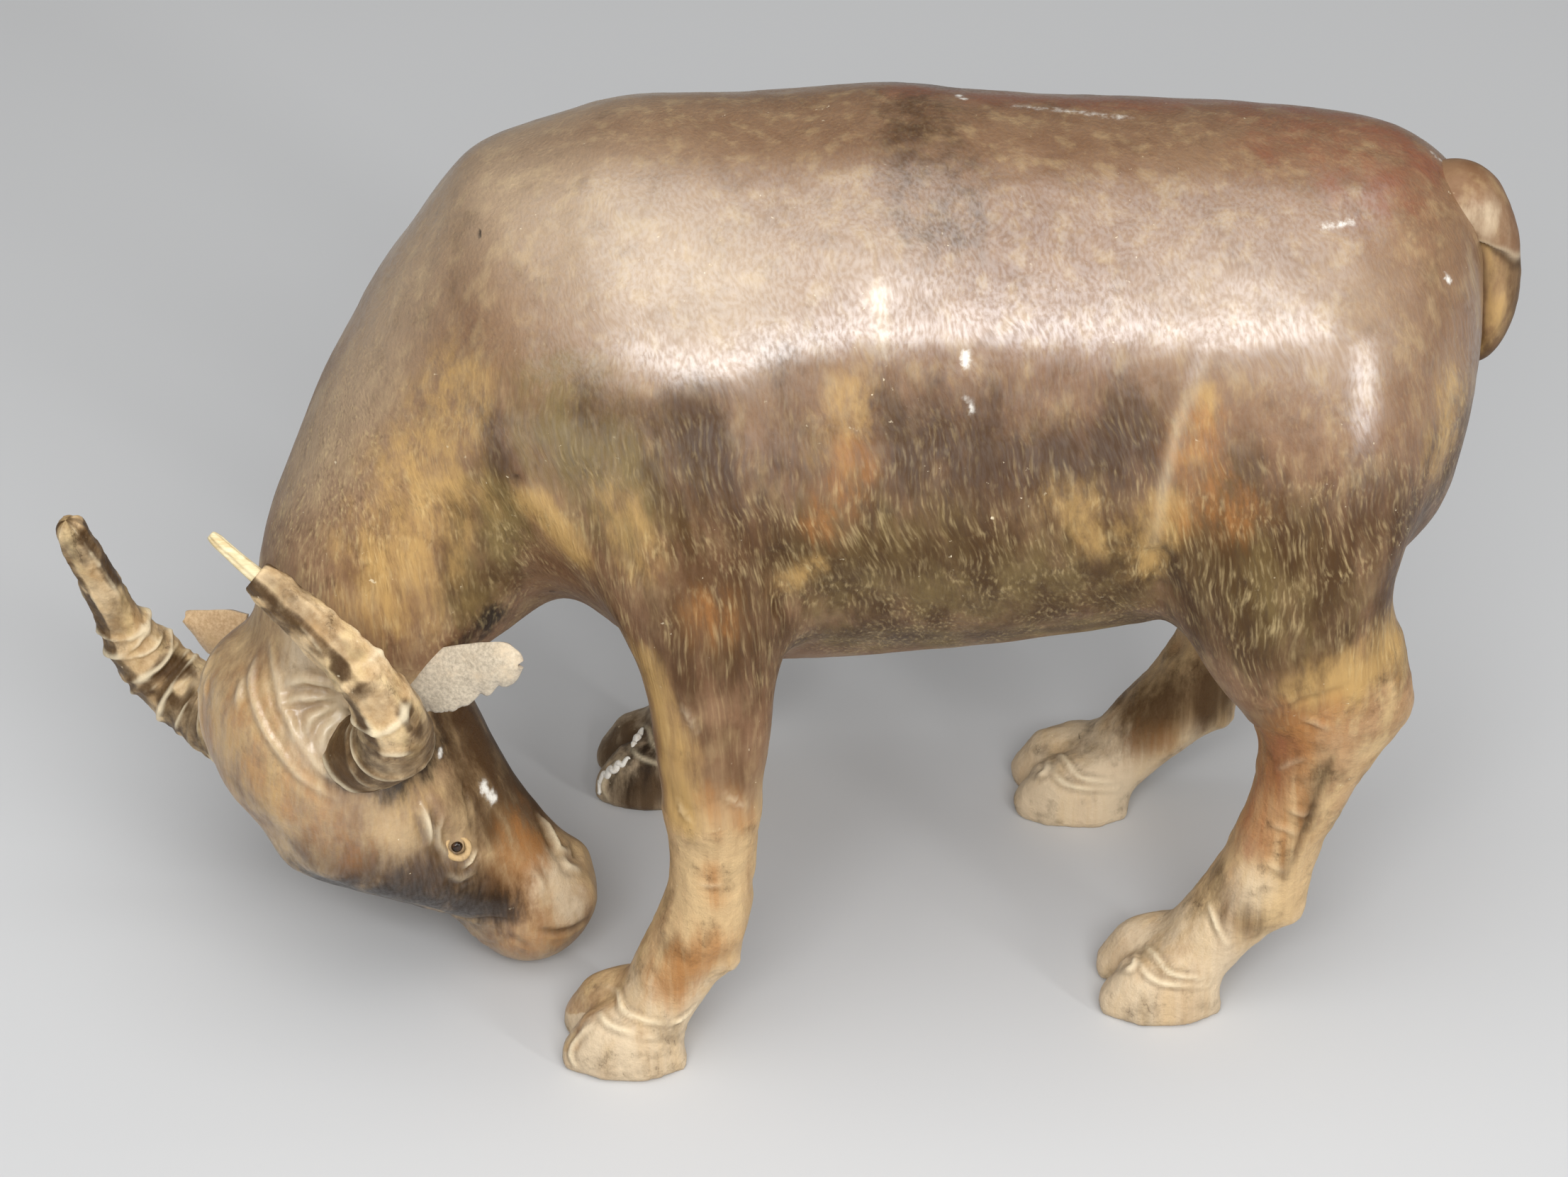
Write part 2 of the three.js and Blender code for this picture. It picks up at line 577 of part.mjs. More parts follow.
const sockets = eachSide((side) => [
  hornCore(side, FIT),
  earLeaf(side, FIT),
  ball(EYE, side, FACETS.bead, FIT),
]);
const nostrils = eachSide((side) => ball(NOSTRIL, side, FACETS.nostril));
const headOuter = common(join(headAt("outer"), trunkAt("outer", toHead)), beyond(seamInHead));
const headInner = join(headAt("inner"), trunkAt("inner", toHead));
const headHide = cut(headOuter, headInner, ...sockets, ...nostrils);
piece(head, "face_hide", largest(common(headHide, before(MUZZLE_SEAM))), "body");
piece(head, "muzzle_hide", largest(common(headHide, beyond(MUZZLE_SEAM))), "body");
const headCore = common(join(headAt("core"), trunkAt("core", toHead)), beyond(seamInHead, FIT));
const headBore = solid(neckRod("front", FIT).applyMatrix4(toHead));
piece(head, "head_core", largest(cut(headCore, ...sockets, headBore)), "wood");
const headClear = join(headAt("clear"), trunkAt("clear", toHead));
Object.entries(sides).forEach(([word, side]) => {
  const wrap = cut(solid(hornWrap(side)), headClear, solid(hornCore(side, FIT)));
  piece(head, `horn_core_${word}`, solid(hornCore(side)), "cane");
  piece(head, `horn_wrap_${word}`, largest(wrap), "horn");
  piece(head, `ear_${word}`, solid(earLeaf(side)), "ear");
  piece(head, `eye_${word}`, solid(ball(EYE, side, FACETS.bead)), "bead");
  piece(head, `eyelid_${word}`, largest(cut(solid(lid(side)), headClear)), "limb");
});

// The origin is under the middle of the figure, on the surface that it stands on.
const box = new THREE.Box3().setFromObject(figure, true);
const middle = box.getCenter(V(0, 0, 0));
figure.position.set(-middle.x, -middle.y, -box.min.z);
export default figure;
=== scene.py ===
"""Looks of the leather-clad water buffalo figurine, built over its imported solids."""
import math

import bmesh
import bpy
import numpy as np
from mathutils import Matrix, Vector
from mathutils.bvhtree import BVHTree


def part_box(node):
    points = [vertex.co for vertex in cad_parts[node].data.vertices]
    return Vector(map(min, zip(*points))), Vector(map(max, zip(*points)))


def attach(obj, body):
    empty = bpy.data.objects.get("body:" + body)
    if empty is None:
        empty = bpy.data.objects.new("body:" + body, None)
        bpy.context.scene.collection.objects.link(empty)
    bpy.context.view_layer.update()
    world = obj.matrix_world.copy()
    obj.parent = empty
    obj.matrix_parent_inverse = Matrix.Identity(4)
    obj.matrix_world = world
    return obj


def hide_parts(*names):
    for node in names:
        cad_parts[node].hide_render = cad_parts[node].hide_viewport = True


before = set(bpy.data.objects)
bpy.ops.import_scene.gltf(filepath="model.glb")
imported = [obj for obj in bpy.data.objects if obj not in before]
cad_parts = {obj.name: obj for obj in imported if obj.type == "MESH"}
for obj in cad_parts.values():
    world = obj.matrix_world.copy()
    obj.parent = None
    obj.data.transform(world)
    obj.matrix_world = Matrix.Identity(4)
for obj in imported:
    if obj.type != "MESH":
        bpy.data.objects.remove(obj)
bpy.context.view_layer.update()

MM = 0.001  # the frame is in metres, and the sizes below are in millimetres

# The animal's own axes in the frame: it faces -X, its left side is -Y and it stands on Z = 0
MIDDLE = np.array((2.125, 2.884, 0.0))
SIDES = {"left": 1, "right": -1}
LEGS = ("front_left", "front_right", "hind_left", "hind_right")

# Photo: its size and the camera's focal length in pixels, the point looked at, and the camera's place
PHOTO_SIZE = (2212, 1661)
PHOTO_FOCAL = 6700
LOOK_AT = MIDDLE + (0, 0, 81.5)
LOOK_DOWN = math.radians(36)
LOOK_FROM = 1000
SENSOR = 36

# Head: midway between the horn roots, with its turn, nod and tilt in degrees
HEAD_AT = MIDDLE + (-100, -27, 68)
HEAD_TURN = 54
HEAD_NOD = 25.5
HEAD_TILT = 28

# Leather
VOXEL = 1.25  # grid of the skin that the panels are cut from


# Small tools for meshes and points


def millimetres(mesh):
    """The mesh's vertices as rows, in millimetres."""
    flat = np.empty(len(mesh.vertices) * 3)
    mesh.vertices.foreach_get("co", flat)
    return flat.reshape(-1, 3) / MM


def put_back(mesh, points):
    """Vertices moved to the points, none of them below the floor."""
    points[:, 2] = np.maximum(points[:, 2], 0)
    mesh.vertices.foreach_set("co", (points * MM).ravel())
    mesh.update()


def normals_of(mesh):
    flat = np.empty(len(mesh.vertices) * 3, dtype=np.float32)
    mesh.vertex_normals.foreach_get("vector", flat)
    return flat.reshape(-1, 3).astype(float)


def edges_of(mesh):
    flat = np.empty(len(mesh.edges) * 2, dtype=np.int32)
    mesh.edges.foreach_get("vertices", flat)
    return flat.reshape(-1, 2)


def new_mesh(name, points, faces):
    mesh = bpy.data.meshes.new(name)
    mesh.from_pydata((np.asarray(points) * MM).tolist(), [], faces)
    mesh.update()
    return mesh


def shown(name, mesh):
    piece = bpy.data.objects.new(name, mesh)
    bpy.context.scene.collection.objects.link(piece)
    return piece


def worked(mesh, kind, **settings):
    """The mesh after one modifier."""
    blank = shown("blank", mesh)
    step = blank.modifiers.new(kind, kind)
    for key, value in settings.items():
        setattr(step, key, value)
    graph = bpy.context.evaluated_depsgraph_get()
    result = bpy.data.meshes.new_from_object(blank.evaluated_get(graph))
    bpy.data.objects.remove(blank)
    return result


def smoothed(values, edges, rounds):
    """Values at the vertices, averaged with their neighbours. rounds may differ from vertex to vertex."""
    count = len(values)
    first, second = edges.T
    degree = np.bincount(first, minlength=count) + np.bincount(second, minlength=count)
    degree = np.maximum(degree, 1)
    columns = values.reshape(count, -1).copy()
    rounds = np.broadcast_to(rounds, count)
    for step in range(int(rounds.max())):
        active = rounds > step
        for k in range(columns.shape[1]):
            column = columns[:, k]
            total = np.bincount(first, column[second], minlength=count)
            total += np.bincount(second, column[first], minlength=count)
            columns[:, k] = np.where(active, 0.5 * column + 0.5 * total / degree, column)
    return columns.reshape(values.shape)


SCATTER = np.array((374761393, 668265263, 1440662683))  # odd numbers that tell neighbouring cells apart


def lattice(cells, seed):
    """A repeatable number from 0 to 1 for each whole-numbered cell."""
    mixed = cells @ SCATTER + seed * 97531
    mixed = (mixed ^ (mixed >> 13)) * 1274126177
    return ((mixed ^ (mixed >> 16)) & 0xFFFF) / 0xFFFF


def noise(points, size, seed=0):
    """Smooth noise from -1 to 1 with cells of that size."""
    scaled = points / size
    cells = np.floor(scaled).astype(np.int64)
    share = scaled - cells
    share = share * share * (3 - 2 * share)
    total = np.zeros(len(points))
    for corner in np.ndindex(2, 2, 2):
        weight = np.prod(np.where(corner, share, 1 - share), axis=1)
        total += weight * lattice(cells + corner, seed)
    return 2 * total - 1


def cloud(points, size, seed=0, octaves=3):
    return sum(noise(points, size / 2**k, seed + 17 * k) / 2**k for k in range(octaves)) / 1.75


def distance_to(points, line):
    """Distance of each point from a polyline or a single point, and the share of the line before it."""
    if len(line) == 1:
        return np.linalg.norm(points - line[0], axis=1), np.full(len(points), 0.5)
    best = np.full(len(points), np.inf)
    share = np.zeros(len(points))
    for k in range(len(line) - 1):
        run = line[k + 1] - line[k]
        along = np.clip((points - line[k]) @ run / max(run @ run, 1e-9), 0, 1)
        away = np.linalg.norm(points - line[k] - along[:, None] * run, axis=1)
        share = np.where(away < best, (k + along) / (len(line) - 1), share)
        best = np.minimum(best, away)
    return best, share


def bell(distance, width):
    return np.exp(-((distance / width) ** 2))


def ramp(values, low, high):
    share = np.clip((values - low) / (high - low), 0, 1)
    return share * share * (3 - 2 * share)


def flowing(points, steps):
    """A smooth curve through the points."""
    points = np.asarray(points, dtype=float)
    padded = np.vstack((2 * points[0] - points[1], points, 2 * points[-1] - points[-2]))
    places = np.linspace(0, len(points) - 1, steps)
    index = np.minimum(places.astype(int), len(points) - 2)
    t = (places - index)[:, None]
    a, b, c, d = (padded[index + k] for k in range(4))
    return 0.5 * (2 * b + (c - a) * t + (2 * a - 5 * b + 4 * c - d) * t**2 + (3 * b - a - 3 * c + d) * t**3)


# Frames of the head and the camera


def turn(angle, axis):
    return np.array(Matrix.Rotation(math.radians(angle), 3, axis))


FACING = np.array(((0, 0, -1), (-1, 0, 0), (0, 1, 0)))  # columns: the head's left, crown and forehead
HEAD_AXES = turn(HEAD_TURN, "Z") @ FACING @ turn(HEAD_NOD, "X") @ turn(HEAD_TILT, "Z")


def from_head(points):
    return HEAD_AT + np.asarray(points, dtype=float) @ HEAD_AXES.T


def to_head(points):
    return (points - HEAD_AT) @ HEAD_AXES


AHEAD = np.array((0, math.cos(LOOK_DOWN), -math.sin(LOOK_DOWN)))
UPWARD = np.array((0, math.sin(LOOK_DOWN), math.cos(LOOK_DOWN)))
RIGHTWARD = np.array((1, 0, 0))
EYE_POINT = LOOK_AT - LOOK_FROM * AHEAD


def sight(u, v):
    """Direction from the camera through a pixel of the photo."""
    across = u - PHOTO_SIZE[0] / 2
    high = PHOTO_SIZE[1] / 2 - v
    way = PHOTO_FOCAL * AHEAD + across * RIGHTWARD + high * UPWARD
    return way / np.linalg.norm(way)


# The whole skin, in one surface, from the leather nodes and the cores below them

SIDE_PANELS = [f"{part}_hide_{side}" for part in ("shoulder", "barrel", "hip") for side in SIDES]
TRUNK_PANELS = ["neck_hide"] + SIDE_PANELS
LOW_PANELS = [f"{part}_{leg}" for part in ("leg_sleeve", "hoof", "sole") for leg in LEGS]
PANELS = TRUNK_PANELS + ["face_hide", "muzzle_hide"] + LOW_PANELS
TRUNK_CORES = ["trunk_core_left", "trunk_core_right", "neck_core", "head_core"]
FILLING = TRUNK_CORES + [f"leg_core_{leg}" for leg in LEGS]
HORN_ROOT = dict(at=(17, -4.5, 2), size=(7.5, 8, 8))
EAR_ROOT = dict(at=(19, -6, -15.5), size=(8, 6, 3))
SOFTNESS = {"neck": 150, "shoulder": 150, "barrel": 150, "hip": 150, "face": 40, "muzzle": 22,
            "leg": 30, "hoof": 14, "sole": 12}  # rounds of smoothing


def root_plug(at, size, side):
    """An egg inside the head that closes a horn's socket or an ear's slit."""
    x, y, z = at
    place = Matrix.Translation(Vector(from_head((side * x, y, z)) * MM))
    axes = Matrix(HEAD_AXES.tolist()).to_4x4()
    return place @ axes @ Matrix.Diagonal((*(np.array(size) * MM), 1))


def bulk():
    """Copies of the leather nodes and cores in one mesh."""
    whole = bmesh.new()
    for name in PANELS + FILLING:
        whole.from_mesh(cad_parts[name].data)
    for root in (HORN_ROOT, EAR_ROOT):
        for side in SIDES.values():
            bmesh.ops.create_icosphere(whole, subdivisions=3, radius=1, matrix=root_plug(**root, side=side))
    mesh = bpy.data.meshes.new("bulk")
    whole.to_mesh(mesh)
    whole.free()
    return mesh


def outer_island(mesh):
    """The largest connected surface of a mesh."""
    whole = bmesh.new()
    whole.from_mesh(mesh)
    unseen = set(whole.verts)
    islands = []
    while unseen:
        group = [unseen.pop()]
        for vertex in group:
            for edge in vertex.link_edges:
                other = edge.other_vert(vertex)
                if other in unseen:
                    unseen.remove(other)
                    group.append(other)
        islands.append(group)
    islands.sort(key=len)
    for group in islands[:-1]:
        bmesh.ops.delete(whole, geom=group, context="VERTS")
    whole.to_mesh(mesh)
    whole.free()
    return mesh


def owners(points):
    """The index in PANELS of the node nearest to each point."""
    corners, triangles, owner = [], [], []
    for index, name in enumerate(PANELS):
        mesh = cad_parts[name].data
        start = len(corners)
        corners.extend(v.co.copy() for v in mesh.vertices)
        for polygon in mesh.polygons:
            triangles.append([start + k for k in polygon.vertices])
            owner.append(index)
    tree = BVHTree.FromPolygons(corners, triangles)
    return np.array([owner[tree.find_nearest(Vector(p * MM))[2]] for p in points])


def make_skin():
    """The skin with its facets smoothed out and its volume kept."""
    mesh = outer_island(worked(bulk(), "REMESH", mode="VOXEL", voxel_size=VOXEL * MM))
    raw = millimetres(mesh)
    edges = edges_of(mesh)
    rounds = np.array([SOFTNESS[name.split("_")[0]] for name in PANELS], dtype=float)[owners(raw)]
    rounds = smoothed(rounds, edges, 12)
    soft = smoothed(raw, edges, rounds)
    put_back(mesh, soft)
    out = normals_of(mesh)
    lost = np.sum((raw - soft) * out, axis=1)
    lost = smoothed(lost, edges, 1.6 * rounds)
    points = soft + lost[:, None] * out
    put_back(mesh, points)
    return mesh


skin = make_skin()

# Panels: the skin is cut along the seams of the nodes, and each piece is refined


def quads_of(mesh):
    flat = np.empty(len(mesh.loops), dtype=np.int32)
    mesh.loops.foreach_get("vertex_index", flat)
    return flat.reshape(-1, 4)


def tidy_labels(labels, quads, count, rounds=4):
    """Labels of the faces, each replaced by the most common one around it."""
    for _ in range(rounds):
        votes = np.zeros((len(PANELS), count))
        for k in range(len(PANELS)):
            corners = quads[labels == k].ravel()
            votes[k] = np.bincount(corners, minlength=count)
        labels = np.argmax(votes[:, quads].sum(axis=2), axis=0)
    return labels


def seam_edges(labels, quads):
    """Edges between faces of different labels."""
    sides = np.concatenate([quads[:, [k, (k + 1) % 4]] for k in range(4)])
    face = np.tile(np.arange(len(quads)), 4)
    order = np.lexsort((sides.max(axis=1), sides.min(axis=1)))
    pairs = face[order].reshape(-1, 2)
    edges = sides[order][::2]
    return edges[labels[pairs[:, 0]] != labels[pairs[:, 1]]]


def along_skin(step, out):
    """A step without the part of it that leaves the skin."""
    return step - np.sum(step * out, axis=1)[:, None] * out


def even_seams(mesh, labels, quads):
    """The stepped seams become smooth lines that stay on the skin."""
    points = millimetres(mesh)
    out = normals_of(mesh)
    seams = seam_edges(labels, quads)
    meeting = np.bincount(seams.ravel(), minlength=len(points))
    free = meeting == 2
    smooth = points.copy()
    for _ in range(25):
        total = np.zeros_like(points)
        for a, b in (seams.T, seams.T[::-1]):
            for k in range(3):
                total[:, k] += np.bincount(a, smooth[b, k], minlength=len(points))
        step = np.where(free[:, None], 0.5 * (total / 2 - smooth), 0)
        smooth += along_skin(step, out)
    edges = edges_of(mesh)
    beside = np.zeros(len(points))
    beside[meeting > 0] = 1
    beside = smoothed(beside, edges, 3) > 0.001
    moving = np.where(beside & (meeting == 0), 6, 0)
    relaxed = smoothed(smooth, edges, moving)
    put_back(mesh, smooth + along_skin(relaxed - smooth, out))


def cut_panels(mesh):
    """The vertices and faces of each panel."""
    quads = quads_of(mesh)
    centres = millimetres(mesh)[quads].mean(axis=1)
    labels = tidy_labels(owners(centres), quads, len(mesh.vertices))
    even_seams(mesh, labels, quads)
    parts = {}
    for index, name in enumerate(PANELS):
        used, renumbered = np.unique(quads[labels == index], return_inverse=True)
        parts[name] = used, renumbered.reshape(-1, 4).tolist()
    return parts


panels = cut_panels(skin)
SKIN_TREE = BVHTree.FromPolygons([Vector(p) for p in millimetres(skin)], quads_of(skin).tolist())


def drawn(*pixels):
    """A line on the skin through pixels of the photo. Pixels beside the skin are left out."""
    hits = [SKIN_TREE.ray_cast(Vector(EYE_POINT), Vector(sight(u, v)))[0] for u, v in pixels]
    return np.array([hit for hit in hits if hit]).reshape(-1, 3)


# Marks on the leather: brushed dye, painted shade and a painted sheen, swells, folds and creases, most of
# them placed by pixels of the photo

# Among these, the near-black mask is painted shade, the lightening of the upper neck, withers and hip is a
# painted sheen, and the darkening of grooves, holes and gaps is grime together with painted shade
MASKS = ("hair", "strokes", "polish", "ochre", "orange", "olive", "dark", "red", "tan", "pale",
         "faded", "soot", "worn", "grime_and_shade", "chip")
HEAD_SEAM = MIDDLE + (-90, -19, 93)
HEADWARD = np.array((-0.45, -0.2, -0.87))
HEAD_GIRTH = 34  # from the head's axis out
HEAD_END = -82  # the muzzle's end along the axis

# Heights between which the leather's looks change, from the floor up
PALE_FEET = (14, 36)
TAN_LEGS = (48, 95)
LOW_LEGS = (40, 75)
LUMPY_LEGS = (60, 95)
HANDLED = (60, 110)
STROKED = (70, 100)
HAIRY = (70, 105)
DARKENED = (80, 105)
FLANK = (127, 167)
BEHIND_SHOULDER = (-50, 0)  # along the trunk
BROW = (-6, 8)  # from the head's middle up
REACH = 3.2  # widths away from a mark's line where it ends
marks = []


def on_head(points):
    """1 on the head and 0 elsewhere, with a soft edge at the neck."""
    local = to_head(points)
    beyond_seam = ramp((points - HEAD_SEAM) @ HEADWARD, -6, 4)
    girth = np.hypot(local[:, 0], local[:, 2])
    return beyond_seam * (1 - ramp(girth, HEAD_GIRTH, HEAD_GIRTH + 6)) * (local[:, 1] > HEAD_END)


def mark(kind, line, width, *amounts):
    if len(line):
        marks.append((kind, line, width, amounts))


def other_side(line):
    """The same line on the far side of the trunk, or of the head if it lies there."""
    if np.all(on_head(line) > 0.5):
        return from_head(to_head(line) * (-1, 1, 1))
    return (line - MIDDLE) * (1, -1, 1) + MIDDLE


def mark_both(kind, pixels, width, *amounts):
    """A mark seen in the photo, and the same on the side that the photo doesn't show."""
    line = drawn(*pixels)
    mark(kind, line, width, *amounts)
    mark(kind, other_side(line), width, *amounts)


def fading(share):
    """Full in the middle of a line and weak at its ends."""
    return np.sqrt(np.sin(math.pi * np.clip(share, 0.02, 0.98)))


class Relief:
    """Heights and masks over a set of points."""

    def __init__(self, points):
        self.points = points
        self.height = np.zeros(len(points))
        self.masks = {name: np.zeros(len(points)) for name in MASKS}
        for kind, line, width, amounts in marks:
            low = line.min(axis=0) - REACH * width
            high = line.max(axis=0) + REACH * width
            near = np.flatnonzero(np.all((points > low) & (points < high), axis=1))
            if len(near):
                away, share = distance_to(points[near], line)
                getattr(self, kind)(near, away, share, width, *amounts)

    def cover(self, mask, near, amount):
        self.masks[mask][near] = np.maximum(self.masks[mask][near], amount)

    def dye(self, near, away, share, width, mask, strength):
        """Colour that fades out from a line: dye, painted shade under parts, and a painted sheen on the
        back.
        """
        self.cover(mask, near, strength * bell(away, width))

    def swell(self, near, away, share, width, height):
        """A rounded rise, or a hollow if the height is negative."""
        self.height[near] += height * bell(away, width)

    def fold(self, near, away, share, width, height, worn):
        """A pressed fold: a ridge between two grooves, which fades at its ends. The grooves are darkened,
        grime together with painted shade.
        """
        fade = fading(share)
        self.height[near] += fade * height * (bell(away, width) - 0.6 * bell(away - 2 * width, width))
        self.cover("worn", near, fade * worn * bell(away, 0.8 * width))
        self.cover("grime_and_shade", near, 0.5 * fade * worn * bell(away - 1.9 * width, 0.7 * width))

    def crease(self, near, away, share, width, depth, grime_and_shade):
        """A crack with lips that stand up a little, which fades at its ends, darkened inside: grime
        together with painted shade.
        """
        fade = fading(share)
        self.height[near] += fade * depth * (0.3 * bell(away - 2 * width, width) - bell(away, width))
        self.cover("grime_and_shade", near, fade * grime_and_shade * bell(away, width))

    def pit(self, near, away, share, width, depth):
        """A round hole, darkened inside: grime together with painted shade."""
        self.height[near] -= depth * bell(away, width)
        self.cover("grime_and_shade", near, bell(away, width))


# Brushed dye, with painted shade and a painted sheen among it: mask, strength, width in millimetres and the
# pixels that a line goes through
BRUSHED = (
    ("ochre", 0.65, 14, ((600, 690), (560, 770), (545, 840))),
    ("ochre", 0.5, 12, ((650, 560), (620, 620))),
    # Painted sheen: the upper neck, withers, back and hip lightened where the ceiling's sheen falls
    ("faded", 0.5, 18, ((430, 640), (490, 560), (560, 400), (640, 260))),
    ("faded", 0.5, 20, ((700, 260), (820, 310), (1000, 400))),
    ("faded", 0.25, 14, ((1150, 330), (1230, 380))),
    ("faded", 0.25, 15, ((1700, 420), (1900, 450))),
    ("pale", 0.5, 7, ((780, 1270), (800, 1250))),
    ("ochre", 0.55, 4, ((1700, 560), (1680, 640))),
    ("olive", 0.8, 8, ((690, 690), (700, 780), (660, 850))),
    ("dark", 0.7, 6, ((650, 730), (640, 830))),
    ("ochre", 1.0, 5, ((760, 712), (810, 775), (856, 880))),
    ("ochre", 0.9, 5, ((905, 930), (955, 1060), (960, 1150))),
    ("pale", 0.4, 2, ((1240, 400), (1250, 500))),
    ("ochre", 0.4, 7, ((1200, 560), (1180, 640))),
    ("ochre", 0.5, 4, ((1150, 800), (1110, 830))),
    ("ochre", 0.6, 6, ((1640, 720), (1624, 800))),
    ("ochre", 0.9, 9, ((1876, 975), (1961, 915))),
    ("ochre", 0.6, 8, ((2030, 640), (2050, 560))),
    ("ochre", 0.5, 5, ((560, 1110), (590, 1130))),
    ("ochre", 0.5, 8, ((330, 1040), (380, 1120))),
    ("orange", 0.55, 6, ((1205, 650), (1165, 740))),
    ("orange", 0.55, 7, ((1690, 600), (1665, 720))),
    ("orange", 0.5, 8, ((1716, 690), (1740, 720))),
    ("orange", 0.4, 12, ((345, 1010), (400, 1110), (490, 1190))),
    ("orange", 0.8, 9, ((1850, 1020), (1800, 1060), (1780, 1170))),
    ("red", 0.6, 6, ((1800, 1050), (1780, 1120), (1770, 1190))),
    ("dark", 0.6, 3, ((1870, 1080), (1835, 1170), (1815, 1230))),
    ("orange", 0.4, 7, ((1000, 860), (1010, 880))),
    ("orange", 0.6, 9, ((735, 1180), (720, 1260), (740, 1320))),
    ("olive", 0.9, 20, ((1227, 800), (1380, 830), (1552, 810))),
    ("olive", 0.9, 20, ((1730, 800), (1800, 860))),
    ("olive", 0.8, 12, ((1190, 900), (1400, 910), (1560, 880))),
    ("olive", 0.8, 14, ((800, 590), (880, 640), (900, 720))),
    ("dark", 0.7, 7, ((850, 570), (930, 600))),
    ("ochre", 0.5, 6, ((870, 700), (900, 800))),
    ("ochre", 0.5, 7, ((1500, 700), (1560, 760))),
    ("dark", 0.9, 9, ((1600, 820), (1640, 880))),
    ("dark", 0.8, 10, ((1700, 880), (1860, 860))),
    ("dark", 0.9, 12, ((985, 620), (1025, 740), (1030, 930))),
    ("dark", 0.9, 16, ((1300, 640), (1440, 660), (1580, 640))),
    ("dark", 0.7, 10, ((1100, 540), (1120, 640))),
    ("dark", 1.0, 13, ((650, 1020), (690, 1060), (735, 1120))),
    ("dark", 0.8, 6, ((645, 1110), (690, 1170))),
    # Painted shade: the jaw's underside darkened, dark brown and near black
    ("dark", 1.0, 8, ((470, 1205), (540, 1225), (610, 1240), (680, 1255))),
    ("soot", 1.0, 9, ((480, 1232), (560, 1248), (620, 1262), (690, 1280))),
    ("dark", 0.8, 5, ((1130, 905), (1280, 925), (1450, 915), (1560, 880))),
    # Painted shade under the throat and brisket
    ("soot", 0.9, 6, ((690, 880), (760, 880), (830, 905))),
    ("dark", 0.8, 14, ((1760, 720), (1810, 790))),
    ("dark", 0.6, 7, ((700, 590), (715, 650))),
    ("dark", 0.8, 9, ((690, 830), (740, 880))),
    ("dark", 0.7, 6, ((1010, 1040), (1020, 1100))),
    ("dark", 0.55, 12, ((1300, 170), (1330, 310))),
    ("dark", 0.8, 7, ((1800, 1030), (1790, 1090))),
    ("red", 0.5, 14, ((1820, 180), (1950, 260))),
    ("tan", 0.7, 13, ((745, 1190), (775, 1250), (740, 1310))),
    ("tan", 0.5, 8, ((560, 1150), (580, 1190))),
    ("tan", 0.6, 9, ((400, 900), (430, 960))),
    ("pale", 0.8, 6, ((775, 1240), (800, 1270))),
    ("pale", 0.6, 8, ((420, 960), (440, 1030), (470, 1050))),
    ("pale", 0.8, 6, ((415, 880), (425, 930))),
)

# Dye on one side alone, with painted shade under the near horn and on the far front hoof
STAINS = (
    ("red", 0.7, 7, ((740, 165), (1270, 125), (1800, 150), (2010, 225))),
    ("red", 0.5, 4, ((500, 380), (620, 230))),
    # The far front hoof: dark dye together with painted shade, and near-black painted shade on it
    ("dark", 1.0, 8, ((905, 1040), (865, 1060), (840, 1100))),
    ("dark", 0.9, 8, ((915, 1110), (880, 1130))),
    ("soot", 0.6, 6, ((905, 1060), (880, 1100))),
    # Painted shade under the near horn
    ("soot", 1.0, 6, ((505, 1085), (560, 1092), (600, 1060))),
    ("dark", 0.6, 4, ((948, 1338), (965, 1360), (955, 1395))),
    ("orange", 0.8, 7, ((1010, 1345), (980, 1365), (950, 1395))),
    ("dark", 0.6, 3, ((955, 1110), (965, 1150))),
    ("orange", 0.6, 5, ((1010, 1120), (1040, 1160))),
    ("orange", 0.5, 4, ((1000, 1235), (1015, 1265))),
    ("dark", 0.5, 6, ((1712, 1240), (1735, 1285), (1775, 1305))),
    ("pale", 0.7, 6, ((1770, 1250), (1760, 1270))),
    ("dark", 0.9, 10, ((1600, 1000), (1660, 990), (1720, 980))),
    ("orange", 0.25, 8, ((1600, 1050), (1650, 1050))),
)

# Bare white chips and pale scuffs: width in millimetres, strength and pixels
CHIPS = (
    # The first two, on the face, are white chips that also stand for a painted glint
    (1.3, 1.0, ((679, 1111), (682, 1114))),
    (1.3, 1.0, ((690, 1123), (692, 1126))),
    (0.7, 0.9, ((717, 1029), (719, 1040))),
    (0.6, 0.9, ((622, 1058), (620, 1066))),
    (0.8, 1.0, ((1362, 500), (1363, 514))),
    (0.6, 0.5, ((1364, 560), (1369, 581))),
    (0.7, 0.8, ((1350, 134), (1360, 140))),
    (1.2, 0.35, ((1430, 150), (1480, 154), (1590, 166))),
    (1.0, 0.45, ((1865, 320), (1909, 312))),
    (0.7, 0.7, ((2022, 215), (2036, 228))),
    (0.6, 0.8, ((2041, 386), (2046, 398))),
)
PIN_HOLE = (732, 671)

